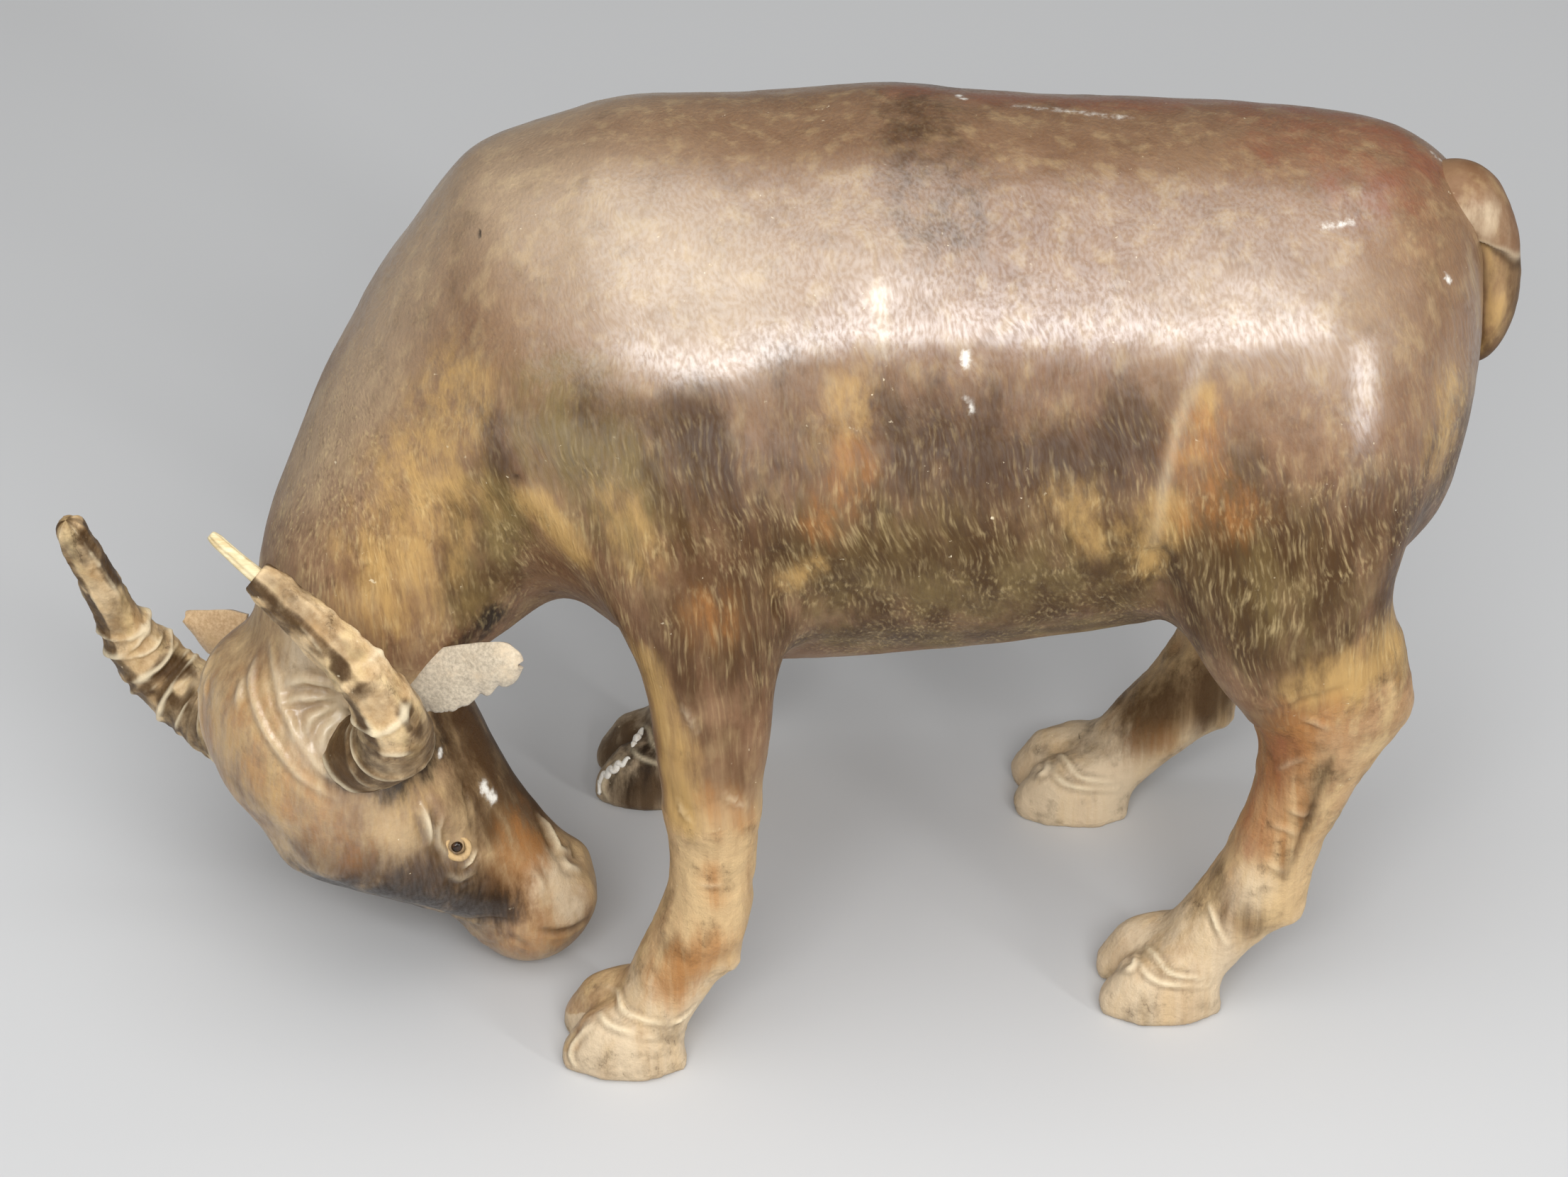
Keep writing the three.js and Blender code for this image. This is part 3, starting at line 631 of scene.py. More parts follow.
# Forms on both sides: kind, pixels, width, height or depth, then a fold's wear or a crease's darkening,
# grime together with painted shade
TRUNK_FORMS = (
    ("swell", ((745, 690), (810, 770), (862, 880)), 6, 1.2),
    ("swell", ((690, 720), (735, 800), (780, 850)), 8, -1.5),
    ("swell", ((1114, 940), (1106, 850), (1096, 790)), 3.2, -1.8),
    ("swell", ((1055, 900), (1045, 800)), 9, 0.9),
    ("swell", ((750, 570), (880, 580), (1000, 570)), 15, 3.0),
    ("swell", ((1655, 910), (1640, 830), (1632, 790)), 3, -2.0),
    ("fold", ((1706, 500), (1661, 594), (1642, 685), (1626, 780)), 1.5, 0.4, 0.3),
    ("swell", ((1240, 440), (1232, 500), (1205, 600)), 3, -0.5),
)
LEG_FORMS = (
    ("swell", ((1000, 1105), (995, 1150)), 8, 0.9),
    ("swell", ((1010, 1372), (1000, 1392)), 5, -1.6),
    ("swell", ((1040, 1318), (1030, 1325)), 4, 0.8),
    ("crease", ((1884, 1060), (1840, 1171), (1822, 1230)), 0.7, 0.8, 0.9),
    ("crease", ((1770, 1003), (1840, 985), (1900, 965)), 0.8, 0.4, 0.5),
)

# Folds of the near foreleg alone: height, wear and pixels
KNEE_FOLDS = (
    (0.5, 0.35, ((1020, 1115), (1034, 1127), (1052, 1137))),
    (0.5, 0.3, ((957, 1126), (964, 1142), (978, 1158))),
    (0.4, 0.3, ((962, 996), (972, 1014), (984, 1036))),
    (0.3, 0.25, ((985, 1246), (1002, 1250), (1020, 1248))),
)
KNEE_FOLD_WIDTH = 0.7

# Short wrinkles across the hind legs
HIND_WRINKLES = (
    ((1840, 1013), (1856, 1018), (1874, 1029)),
    ((1803, 1086), (1820, 1076), (1840, 1069)),
    ((1818, 1142), (1832, 1146), (1846, 1148)),
    ((1795, 1164), (1812, 1168), (1829, 1176)),
    ((1784, 1215), (1798, 1222), (1812, 1232)),
)

# Folds pressed into the near hooves
HOOF_FOLD_WIDTH = 0.65
HOOF_FOLD_HEIGHT = 0.5
HOOF_FOLDS = {
    "front_left": (
        ((858, 1392), (873, 1401), (878, 1424), (905, 1438), (936, 1444)),
        ((846, 1430), (860, 1446), (893, 1458)),
        ((910, 1463), (966, 1461)),
        ((950, 1443), (962, 1438), (984, 1420)),
        ((832, 1447), (812, 1468), (804, 1488), (812, 1506)),
    ),
    "hind_left": (
        ((1615, 1335), (1629, 1347), (1652, 1374), (1698, 1381)),
        ((1604, 1355), (1622, 1378), (1648, 1389), (1706, 1389)),
        ((1704, 1276), (1714, 1301), (1731, 1334)),
        ((1606, 1339), (1595, 1366), (1560, 1382), (1545, 1392)),
    ),
}


def box_middle(node):
    low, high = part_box(node)
    return (np.array(low) + np.array(high)) / 2 / MM


def mark_forms(forms):
    for form in forms:
        mark_both(*form)


def mark_dye():
    for mask, strength, width, pixels in BRUSHED:
        mark_both("dye", pixels, width, mask, strength)
    for mask, strength, width, pixels in STAINS:
        mark("dye", drawn(*pixels), width, mask, strength)
    for width, strength, pixels in CHIPS:
        mark("dye", drawn(*pixels), width, "chip", strength)


def mark_trunk():
    mark_forms(TRUNK_FORMS)
    mark("pit", drawn(PIN_HOLE), 0.8, 1.4)


def mark_legs():
    for height, worn, pixels in KNEE_FOLDS:
        mark("fold", drawn(*pixels), KNEE_FOLD_WIDTH, height, worn)
    for pixels in HIND_WRINKLES:
        mark_both("fold", pixels, 0.9, 0.6, 0.2)
    mark_forms(LEG_FORMS)


def mark_hooves():
    """Folds of the near hooves, and the same on the far ones."""
    for near, folds in HOOF_FOLDS.items():
        over = box_middle(f"sole_{near.replace('left', 'right')}") - box_middle(f"sole_{near}")
        for pixels in folds:
            line = flowing(drawn(*pixels), 12)
            mark("fold", line, HOOF_FOLD_WIDTH, HOOF_FOLD_HEIGHT, 0.9)
            mark("fold", line + over, HOOF_FOLD_WIDTH, HOOF_FOLD_HEIGHT, 0.8)


# Pleats of the head's leather below the horn, from the horn's inner corner out, and the folds round them
PLEAT_CORNER = (492, 986)
PLEATS = (
    ((466, 966), (430, 958), (400, 968)),
    ((458, 984), (420, 985), (398, 992)),
    ((464, 1000), (440, 1012), (428, 1040)),
    ((474, 1010), (460, 1030), (452, 1058)),
    ((482, 1015), (476, 1040), (473, 1066)),
    ((492, 1020), (495, 1050), (502, 1072)),
    ((504, 1008), (522, 1036)),
)
HORN_FOLDS = (
    ((381, 905), (388, 950), (397, 995), (425, 1047), (456, 1087), (508, 1112)),
    ((352, 930), (356, 985), (376, 1035), (420, 1092), (476, 1126)),
    ((362, 925), (350, 975)),
    ((344, 955), (334, 992)),
    ((410, 1010), (416, 1050)),
)

# The jaw, the eye, the nostril, the mouth and the chin, laid out as the forms of the trunk are
HEAD_FORMS = (
    ("swell", ((470, 1215), (540, 1238), (600, 1252), (650, 1266)), 7, 3.2),
    ("swell", ((636, 1188), (638, 1190)), 4, -1.6),
    ("swell", ((615, 1130), (650, 1150)), 5, 1.4),
    ("fold", ((592, 1138), (600, 1155), (606, 1172), (611, 1188)), 0.9, 1.0, 1.0),
    ("crease", ((604, 1145), (612, 1165), (616, 1190)), 0.6, 0.8, 0.9),
    ("fold", ((620, 1150), (618, 1172), (624, 1196), (638, 1212)), 0.7, 0.6, 0.4),
    ("fold", ((654, 1221), (664, 1214), (671, 1201)), 0.6, 0.6, 0.9),
    ("fold", ((628, 1228), (648, 1234), (668, 1228)), 0.7, 0.4, 0.3),
    ("crease", ((655, 1098), (652, 1120), (658, 1150), (668, 1180)), 0.6, 0.5, 0.5),
    ("swell", ((690, 1100), (730, 1160)), 5, 0.8),
    ("fold", ((760, 1152), (771, 1166), (779, 1182), (786, 1197), (800, 1203)), 1.0, 1.2, 1.0),
    ("fold", ((793, 1210), (800, 1222), (813, 1228)), 0.9, 0.8, 0.8),
    ("crease", ((800, 1178), (806, 1192), (812, 1212)), 1.0, 1.0, 0.6),
    ("swell", ((810, 1185), (818, 1200)), 4, 1.5),
    ("swell", ((828, 1255), (830, 1268)), 3, 1.2),
    ("crease", ((630, 1280), (690, 1294), (735, 1302)), 0.9, 0.6, 0.9),
    ("crease", ((760, 1311), (783, 1314), (805, 1311), (828, 1296)), 0.8, 0.7, 0.9),
    ("crease", ((690, 1330), (720, 1320), (750, 1335)), 0.8, 0.4, 0.4),
    ("fold", ((745, 1225), (760, 1240), (758, 1262)), 1.0, 0.4, 0.3),
    ("swell", ((700, 1322), (770, 1330)), 5, 0.4),
    ("swell", ((770, 1250), (780, 1262)), 8, 0.8),
)


def mark_head():
    for pixels in PLEATS:
        mark_both("fold", (PLEAT_CORNER, *pixels), 1.0, 0.9, 0.5)
    for pixels in HORN_FOLDS:
        mark_both("fold", pixels, 0.9, 0.5, 0.45)
    mark_forms(HEAD_FORMS)


def raise_horn_roots(relief):
    """Mounds of the head that the horns come out of."""
    local = to_head(relief.points)
    for sign in SIDES.values():
        root = local - (sign * 20, -4.5, 2)
        beside = ramp(sign * root[:, 0], -12, -3) * on_head(relief.points)
        relief.height += 2.2 * bell(np.hypot(root[:, 1], root[:, 2]), 10) * beside


def wandering(points):
    """Heights above the floor, made uneven so that no tone ends in a straight line."""
    return points[:, 2] + 7 * noise(points, 15, 5)


def make_wavy(relief):
    """The slow waves of hand-laid leather, and the lumps of the lower legs."""
    points = relief.points
    off_head = 1 - on_head(points)
    low = 1 - ramp(points[:, 2], *LOW_LEGS)
    lower_leg = off_head * (1 - ramp(wandering(points), *LUMPY_LEGS))
    above_hoof = ramp(points[:, 2], 8, 22)
    relief.height += (0.3 + 0.7 * off_head) * (1 - 0.6 * low) * 0.4 * cloud(points, 18, 3)
    relief.height += 0.16 * cloud(points, 6, 9)
    relief.height += lower_leg * 0.35 * cloud(points * (1, 1, 0.5), 4.0, 41)
    relief.height += lower_leg * above_hoof * 0.7 * cloud(points, 9, 43)


def tone(relief):
    """Tones that follow the height: a handled back, dark flanks, tan legs and pale feet."""
    points = relief.points
    off_head = 1 - on_head(points)
    height = wandering(points)
    flank = 1 - ramp(points[:, 2] + 3 * noise(points, 20, 6), *FLANK)
    behind = ramp(points[:, 0], *BEHIND_SHOULDER)
    brow = 0.55 * ramp(to_head(points)[:, 2], *BROW)
    handled = ramp(height, *HANDLED) * (1 - 0.93 * flank)
    tones = (
        ("hair", off_head * ramp(height, *HAIRY)),
        ("polish", brow + off_head * (handled - brow)),
        ("tan", 0.5 * (1 - off_head)),
        ("strokes", off_head * (0.25 + 0.75 * flank) * ramp(height, *STROKED)),
        ("dark", off_head * flank * (0.15 + 0.52 * behind) * ramp(height, *DARKENED)),
        ("tan", 0.62 * off_head * (1 - ramp(height, *TAN_LEGS))),
        ("pale", 0.75 * off_head * (1 - ramp(height, *PALE_FEET))),
    )
    for mask, amount in tones:
        relief.cover(mask, slice(None), amount)


def relief_over(points):
    relief = Relief(points)
    raise_horn_roots(relief)
    make_wavy(relief)
    tone(relief)
    return relief


mark_dye()
mark_trunk()
mark_legs()
mark_hooves()
mark_head()


def comb_of(points):
    """Coordinates that run with the hair: along the trunk, across it, and round it."""
    local = points - MIDDLE - (0, 0, 138)
    around = 52 * np.arctan2(np.abs(local[:, 1]), local[:, 2])
    return np.stack((points[:, 0] - 0.16 * around, points[:, 1], around), axis=1)


def add_masks(mesh, masks, comb):
    for name in MASKS:
        values = masks.get(name, np.zeros(len(mesh.vertices)))
        mesh.attributes.new(name, "FLOAT", "POINT").data.foreach_set("value", values.astype(np.float32))
    strokes = mesh.attributes.new("comb", "FLOAT_VECTOR", "POINT").data
    strokes.foreach_set("vector", comb.astype(np.float32).ravel())
    mesh.shade_smooth()


# Pieces of leather, one for each panel node

FINE = ("face", "muzzle", "leg", "hoof")  # panels with small folds, which get a finer grid


def stand_for(piece, slot, *nodes):
    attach(piece, "root")
    if nodes:
        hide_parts(*nodes)
    return piece


def make_panels():
    smooth_points = millimetres(skin)
    smooth_out = normals_of(skin)
    relief = relief_over(smooth_points)
    put_back(skin, smooth_points + relief.height[:, None] * smooth_out)
    points = millimetres(skin)
    out = normals_of(skin)
    pieces = {}
    for name, (used, faces) in panels.items():
        if name.split("_")[0] in FINE:
            mesh = worked(new_mesh(name, smooth_points[used], faces), "SUBSURF", levels=1, render_levels=1)
            fine = millimetres(mesh)
            own = relief_over(fine)
            put_back(mesh, fine + own.height[:, None] * normals_of(mesh))
            add_masks(mesh, own.masks, comb_of(fine) if name in LOW_PANELS else fine)
        else:
            mesh = new_mesh(name, points[used], faces)
            add_masks(mesh, {key: mask[used] for key, mask in relief.masks.items()}, comb_of(points[used]))
            mesh.normals_split_custom_set_from_vertices(out[used].tolist())
        piece = shown(f"{name}_leather", mesh)
        pieces[name] = stand_for(piece, "limb_leather" if name in LOW_PANELS else "body_leather", name)
    return pieces


leather_pieces = make_panels()

# Tubes: horns, cane, tail and filler


def full_turn(count):
    """Even angles round a circle."""
    return np.linspace(0, 2 * math.pi, count, endpoint=False)


def unrolled(run, around):
    """Length along a tube and angle round it, for each of its points."""
    return np.meshgrid(run, full_turn(around), indexing="ij")


def round_grid(length, turned, radius):
    """Points of a straight tube, which noise is taken from."""
    return np.stack((length, radius * np.cos(turned), radius * np.sin(turned)), axis=-1).reshape(-1, 3)


def tube(path, radii, lateral, squash=(1, 1)):
    """Rings of points round a path. radii has one row for each ring and one column for each way round."""
    ahead = np.gradient(path, axis=0)
    ahead /= np.linalg.norm(ahead, axis=1)[:, None]
    lateral = np.asarray(lateral, dtype=float)
    side = lateral - ahead * (ahead @ lateral)[:, None]
    side /= np.linalg.norm(side, axis=1)[:, None]
    up = np.cross(ahead, side)
    angle = full_turn(radii.shape[1])
    across = squash[0] * radii * np.cos(angle)
    high = squash[1] * radii * np.sin(angle)
    return path[:, None] + across[..., None] * side[:, None] + high[..., None] * up[:, None]


def grid_faces(rows, columns, round_columns=True, round_rows=False):
    """Quads between rows of points, which may close on themselves."""
    faces = []
    for i in range(rows if round_rows else rows - 1):
        for j in range(columns if round_columns else columns - 1):
            a, b = i * columns, ((i + 1) % rows) * columns
            k = (j + 1) % columns
            faces.append((a + j, a + k, b + k, b + j))
    return faces


def tube_mesh(name, points, flip=False):
    rows, columns = points.shape[:2]
    faces = grid_faces(rows, columns)
    faces.append(tuple((rows - 1) * columns + j for j in range(columns)))
    faces.append(tuple(reversed(range(columns))))
    if flip:
        faces = [face[::-1] for face in faces]
    return new_mesh(name, points.reshape(-1, 3), faces)


def run_along(path):
    return np.concatenate(([0], np.cumsum(np.linalg.norm(np.diff(path, axis=0), axis=1))))


def around_gap(angle, course, radius):
    """Distance round a tube from a line along it."""
    return radius * np.abs((angle - course + math.pi) % (2 * math.pi) - math.pi)


def column(values, steps):
    """Single sizes, as a smooth run of that many steps."""
    return flowing([(value, 0, 0) for value in values], steps)[:, 0]


# Horns: wound leather, with a bare end of cane on the left one

HORN_PATH = (
    (8, -5, 3), (22, -4, 3), (36, -1, 1.6), (44, 7.5, 0.5), (46, 17, -0.5),
    (43.5, 27.5, -2), (38.7, 38, -3.5), (34, 48, -4.3), (30, 56, -5.3),
)
HORN_RADIUS = {
    "left": (9, 8.8, 8.2, 7.2, 6, 5.2, 4.5, 3.8, 3.2),
    "right": (9.4, 9.2, 8.6, 7.8, 6.8, 5, 4.3, 4, 3.4),
}
HORN_RINGS = {"left": 7.5, "right": 3.2}  # between two rings
HORN_BARE = {"left": (-0.3, 0.3), "right": (-0.05, 0.4)}  # where the dark dye begins and is full
HORN_DARK = {"left": 0.85, "right": 0.15}  # dark at the root; on the left horn this is painted shade where it leaves the head
HORN_WORN = 12  # length of the left horn that its wrap leaves bare
CANE_ROOT = 2.5  # radius of the left horn's cane where it starts, and at its tip
CANE_TIP = 1.3
HORN_STEPS = 260
HORN_AROUND = 72
HORN_HIDDEN = 18  # steps of the path inside the head


def horn_relief(length, angle, side):
    """Height of the rings near the root and of the folds that run to the tip."""
    total = length.max()
    seed = 1 if side == "left" else 2
    grid = round_grid(length + 40 * seed, angle, 6)

    def uneven_at(size, number):
        return noise(grid, size, number).reshape(length.shape)

    height = 0.5 * cloud(grid, 5, 90 + seed).reshape(length.shape)
    for ring in range(int(0.62 * total / HORN_RINGS[side])):
        place = HORN_RINGS[side] * (ring + 0.9 + 0.3 * noise(np.array([(ring, seed, 0.5)]), 0.7)[0])
        lean = 1.3 * np.sin(angle + 2.4 * ring + seed) + 0.8 * uneven_at(5, ring)
        strength = 0.35 + 0.65 * ramp(uneven_at(6, 50 + ring), -0.4, 0.4)
        height += 0.7 * strength * bell(length - place - lean, 0.9)
    for k in range(6):
        course = 1.05 * k + 0.012 * length + 0.6 * uneven_at(14, 70 + k)
        broken = ramp(uneven_at(8, 80 + k), -0.3, 0.3)
        towards_tip = ramp(length, 0.3 * total, 0.5 * total)
        height += 0.55 * broken * bell(around_gap(angle, course, 6), 1.0) * towards_tip
    return height + 0.25 * cloud(grid, 1.8, 33).reshape(length.shape)


def make_horn(side):
    sign = SIDES[side]
    path = flowing(HORN_PATH, HORN_STEPS)[HORN_HIDDEN:]
    radius = column(HORN_RADIUS[side], HORN_STEPS)[HORN_HIDDEN:]
    run = run_along(path)
    if side == "left":
        wrapped = run < run[-1] - HORN_WORN
        path, radius, run = path[wrapped], radius[wrapped], run[wrapped]
    length, turned = unrolled(run, HORN_AROUND)
    height = horn_relief(length, turned, side)
    tip = np.minimum((run[-1] - run) / radius, 1)
    closing = np.sqrt(1 - (1 - tip) ** 2) if side == "right" else 0.8 + 0.2 * np.sqrt(tip)
    closing = np.maximum(closing, 0.02)
    radii = closing[:, None] * (radius[:, None] + height - 0.4)
    local = tube(path, radii, (0, 0, 1)) * (sign, 1, 1)
    mesh = tube_mesh(f"horn_{side}", from_head(local), flip=sign < 0)
    flat = local.reshape(-1, 3)
    drawn_out = round_grid(0.35 * length, turned, 8)
    patches = ramp(noise(drawn_out, 6, 15 + sign), *HORN_BARE[side]) * ramp(noise(flat, 3, 4), -0.7, 0.1)
    streaks = noise(flat * (0.5, 0.5, 1.5), 5, 8).reshape(length.shape)
    # Dark at the root, on the left horn painted shade where it meets the head
    at_root = HORN_DARK[side] * (1 - ramp(length + 9 * streaks, 12, 46)).ravel()
    masks = {
        "worn": 0.85 * ramp(height, 0.35, 1.0).ravel(),
        # Grooves between the horn's folds darkened: grime together with painted shade
        "grime_and_shade": 0.6 * (1 - ramp(height, -0.3, 0.2)).ravel(),
        "dark": np.maximum(0.9 * patches, at_root),
    }
    add_masks(mesh, masks, flat)
    return stand_for(shown(f"horn_wrap_{side}_leather", mesh), "horn_leather", f"horn_wrap_{side}")


def make_cane():
    """The bare spike of the left horn, split and a little uneven at its end."""
    path = flowing(HORN_PATH, 200)[120:]
    run = run_along(path)
    length, turned = unrolled(run, 28)
    ridges = 0.12 * np.sin(7 * turned) + 0.1 * np.sin(3 * turned + 0.1 * length)
    end = np.minimum((run[-1] - run) / 2, 1)
    taper = CANE_ROOT + (CANE_TIP - CANE_ROOT) * ramp(run, 0, run[-1])
    radii = taper * (0.55 + 0.45 * np.sqrt(end))
    local = tube(path, radii[:, None] + ridges, (0, 0, 1))
    mesh = tube_mesh("cane", from_head(local))
    mesh.shade_smooth()
    return stand_for(shown("horn_core_left_cane", mesh), "cane", "horn_core_left")


horn_pieces = [make_horn(side) for side in SIDES]
cane_piece = make_cane()

# Ears: suede strips with ragged edges, which lie where the photo's pixels meet a plane through the node

EAR_EDGES = {  # upper and lower edge, from the root to the tip
    "left": (
        ((572, 940), (600, 925), (635, 917), (670, 913), (706, 911), (724, 922), (730, 938)),
        ((585, 1006), (606, 1008), (630, 1002), (660, 992), (692, 978), (714, 962), (730, 944)),
    ),
    "right": (
        ((345, 872), (320, 866), (300, 866), (280, 867), (266, 869), (260, 872)),
        ((345, 955), (322, 946), (300, 930), (284, 912), (270, 892), (260, 876)),
    ),
}
EAR_THICK = 1.6
EAR_BOW = 1.6  # how far the edges bend back
EAR_FRAY = {"left": 6, "right": 3}  # pixels


def onto_plane(pixels, point, normal):
    rays = np.array([sight(u, v) for u, v in pixels])
    return EYE_POINT + rays * ((point - EYE_POINT) @ normal / (rays @ normal))[:, None]


def make_ear(side):
    long, wide = 72, 24
    upper, lower = (flowing([(u, v, 0) for u, v in edge], long)[:, :2] for edge in EAR_EDGES[side])
    share = np.linspace(0, 1, wide)[None, :, None]
    pixels = (upper[:, None] * (1 - share) + lower[:, None] * share).reshape(-1, 2)
    steps = np.stack((pixels[:, 0], pixels[:, 1], np.zeros(len(pixels))), axis=1)
    frayed = ramp(np.tile(share.ravel(), long), 0.5, 1)
    tatters = cloud(steps * (1, 0, 0), 24, 14, octaves=4)
    pixels[:, 1] += 2 * EAR_FRAY[side] * frayed * tatters
    normal = HEAD_AXES[:, 2] - AHEAD
    normal /= np.linalg.norm(normal)
    flat = onto_plane(pixels, box_middle(f"ear_{side}"), normal)
    bowed = EAR_BOW * (2 * np.tile(share.ravel(), long) - 1) ** 2
    flat += (0.8 * cloud(flat, 8, 4) - bowed)[:, None] * normal
    mesh = new_mesh(f"ear_{side}", flat, grid_faces(long, wide, round_columns=False))
    mesh = worked(mesh, "SOLIDIFY", thickness=EAR_THICK * MM, offset=0)
    mesh.shade_smooth()
    return stand_for(shown(f"ear_{side}_suede", mesh), "ear_suede", f"ear_{side}")


ear_pieces = {side: make_ear(side) for side in SIDES}

# Eyes: beads in rolled leather rims

EYE_RISE = math.radians(20)  # from the head's side towards the forehead
RIM_OPEN = -0.3  # where the brow covers the rim, as an angle round the eye
EYE_SECTION = (19.5, 18)  # half width and height of the head there
BEAD = 1.35  # radius
BEAD_SUNK = 0.9
RIM = 2.35  # radius of the roll's middle line


def eye_axes(side):
    """Out of the skin at an eye, along the head and across it."""
    half, up = EYE_SECTION
    out = HEAD_AXES @ np.array((SIDES[side] * math.cos(EYE_RISE) / half, 0, math.sin(EYE_RISE) / up))
    out /= np.linalg.norm(out)
    long = HEAD_AXES[:, 1] - out * (HEAD_AXES[:, 1] @ out)
    long /= np.linalg.norm(long)
    return out, long, np.cross(out, long)


def make_bead(side):
    """A bead with a flat rubbed on its front."""
    out, long, high = eye_axes(side)
    ball = bmesh.new()
    bmesh.ops.create_uvsphere(ball, u_segments=32, v_segments=20, radius=1)
    mesh = bpy.data.meshes.new(f"eye_{side}")
    ball.to_mesh(mesh)
    ball.free()
    unit = np.array([v.co for v in mesh.vertices])
    front = unit[:, 2]
    unit[:, 2] = np.where(front > 0.8, 0.8 + 0.35 * (front - 0.8), front)
    put_back(mesh, box_middle(f"eye_{side}") - BEAD_SUNK * out + BEAD * unit @ np.stack((long, high, out)))
    mesh.shade_smooth()
    return stand_for(shown(f"eye_{side}_bead", mesh), "bead", f"eye_{side}")


def make_rim(side):
    """A rolled rim, thick below the eye and thin where the brow covers it."""
    out, long, high = eye_axes(side)
    around, rolled = 72, 18
    angle = full_turn(around)[:, None]
    swing = full_turn(rolled)
    below = 0.5 - 0.5 * np.cos(angle - RIM_OPEN)
    roll = 0.45 + 0.4 * below + 0.06 * np.sin(5 * angle)
    reach = RIM + 0.15 * np.cos(2 * angle) + roll * np.cos(swing)
    rise = 0.8 * below - 0.7 + 0.9 * roll * np.sin(swing)
    points = (box_middle(f"eye_{side}") + (reach * np.cos(angle))[..., None] * long
              + (reach * np.sin(angle))[..., None] * high + rise[..., None] * out)
    flat = points.reshape(-1, 3)
    faces = grid_faces(around, rolled, round_rows=True)
    mesh = new_mesh(f"eyelid_{side}", flat, [face[::-1] for face in faces])
    crown = np.tile(np.sin(swing), around)
    masks = {
        "tan": np.ones(len(flat)),
        "ochre": np.full(len(flat), 0.4),
        # Painted shade where the roll turns in towards the skin
        "grime_and_shade": 1 - ramp(crown, -0.3, 1.0),
    }
    add_masks(mesh, masks, flat)
    return stand_for(shown(f"eyelid_{side}_leather", mesh), "limb_leather", f"eyelid_{side}")


bead_pieces = [make_bead(side) for side in SIDES]
rim_pieces = [make_rim(side) for side in SIDES]

# Tail: a strap rolled round its cane, under a flap that comes off the rump

TAIL_PATH = (
    (122, 0, 172), (134, 0, 178), (140, 0, 172), (142.5, 0, 162),
    (143, 0, 153), (141.5, 0, 145), (139, 0, 139),
)
TAIL_RADIUS = (9.5, 7.6, 6.4, 5.8, 5.2, 4.4, 2.6)
TAIL_FLAP = 25  # length of the flap along the tail
TAIL_SLANT = 6.5  # how far the flap's edge slants to each side of that length
TAIL_STEP = 1.2  # thickness of the flap at its edge


def make_tail():
    steps = 200
    path = flowing(TAIL_PATH, steps) + MIDDLE
    run = run_along(path)
    length, turned = unrolled(run, 64)
    grid = round_grid(length, turned, 5)
    height = 0.5 * cloud(grid, 7, 21).reshape(length.shape)
    edge = length - TAIL_FLAP - TAIL_SLANT * np.sin(turned) - noise(grid, 3, 5).reshape(length.shape)
    inside = ramp(edge, -0.4, 0.5)
    rolled = bell(around_gap(turned, math.pi / 2, 5), 3.5)
    height -= TAIL_STEP * inside * (1 - rolled)
    tip = np.minimum((run[-1] - run) / column(TAIL_RADIUS, steps), 1)
    radii = (column(TAIL_RADIUS, steps) * np.sqrt(1 - (1 - tip) ** 2 + 0.02))[:, None] + height
    points = tube(path, radii, (0, 1, 0), (1.05, 0.9))
    mesh = tube_mesh("tail", points)
    flat = points.reshape(-1, 3)
    near_rump = bell(around_gap(turned, 1.5 * math.pi, 5), 4)
    outer = bell(around_gap(turned, math.pi / 2, 5), 6)
    end = ramp(length, run[-1] - 16, run[-1] - 4)
    masks = {
        "tan": 0.25 * inside.ravel(),
        "pale": 0.6 * (bell(edge + 9, 8) * (1 - 0.7 * outer)).ravel(),
        "ochre": 0.45 * (inside * bell(around_gap(turned, math.pi, 5), 4)).ravel(),
        "worn": 0.4 * bell(edge + 0.6, 0.9).ravel(),
        # Painted shadow under the flap's edge, and painted shade in the gap against the rump
        "grime_and_shade": np.maximum(0.9 * bell(edge - 1.3, 1.4), 0.8 * inside * near_rump).ravel(),
        # Painted shade along the strap's outer edge, which turns from the light; darker towards its end too
        "dark": 0.85 * (inside * np.maximum(outer, end)).ravel(),
    }
    add_masks(mesh, masks, flat)
    return stand_for(shown("tail_wrap_leather", mesh), "body_leather", "tail_wrap")


tail_piece = make_tail()

# White filler, squeezed out of the cleft of the far front hoof

FILLER_LINES = {
    "long": ((889, 1071), (877, 1077), (867, 1084), (856, 1092), (848, 1100), (846, 1112), (846, 1122)),
    "short": ((908, 1030), (900, 1042), (892, 1055)),
}
FILLER_RADIUS = 0.9
FILLER_WAVE = 0.5  # how far a strand wriggles up and down


def make_filler(name):
    path = flowing(drawn(*FILLER_LINES[name]), 80)
    run = run_along(path)
    path += FILLER_WAVE * np.sin(2.4 * run)[:, None] * UPWARD
    length, turned = unrolled(run, 16)
    grid = round_grid(length, turned, 1)
    lumps = 1 + 0.4 * noise(grid, 1.6, 2).reshape(length.shape)
    ends = np.sqrt(np.clip(np.sin(math.pi * run / run[-1]), 0, 1) + 0.02)
    points = tube(path, FILLER_RADIUS * lumps * ends[:, None], (0, 0, 1))
    mesh = tube_mesh("filler", points)
    mesh.shade_smooth()
    return stand_for(shown(f"hoof_filler_{name}", mesh), "limb_leather")


filler_pieces = [make_filler(name) for name in FILLER_LINES]

# Finishes


def srgb(red, green, blue):
    """A colour as seen, from 0 to 255, as the renderer's own values."""
    seen = np.array((red, green, blue)) / 255
    linear = np.where(seen <= 0.04045, seen / 12.92, ((seen + 0.055) / 1.055) ** 2.4)
    return (*linear, 1)


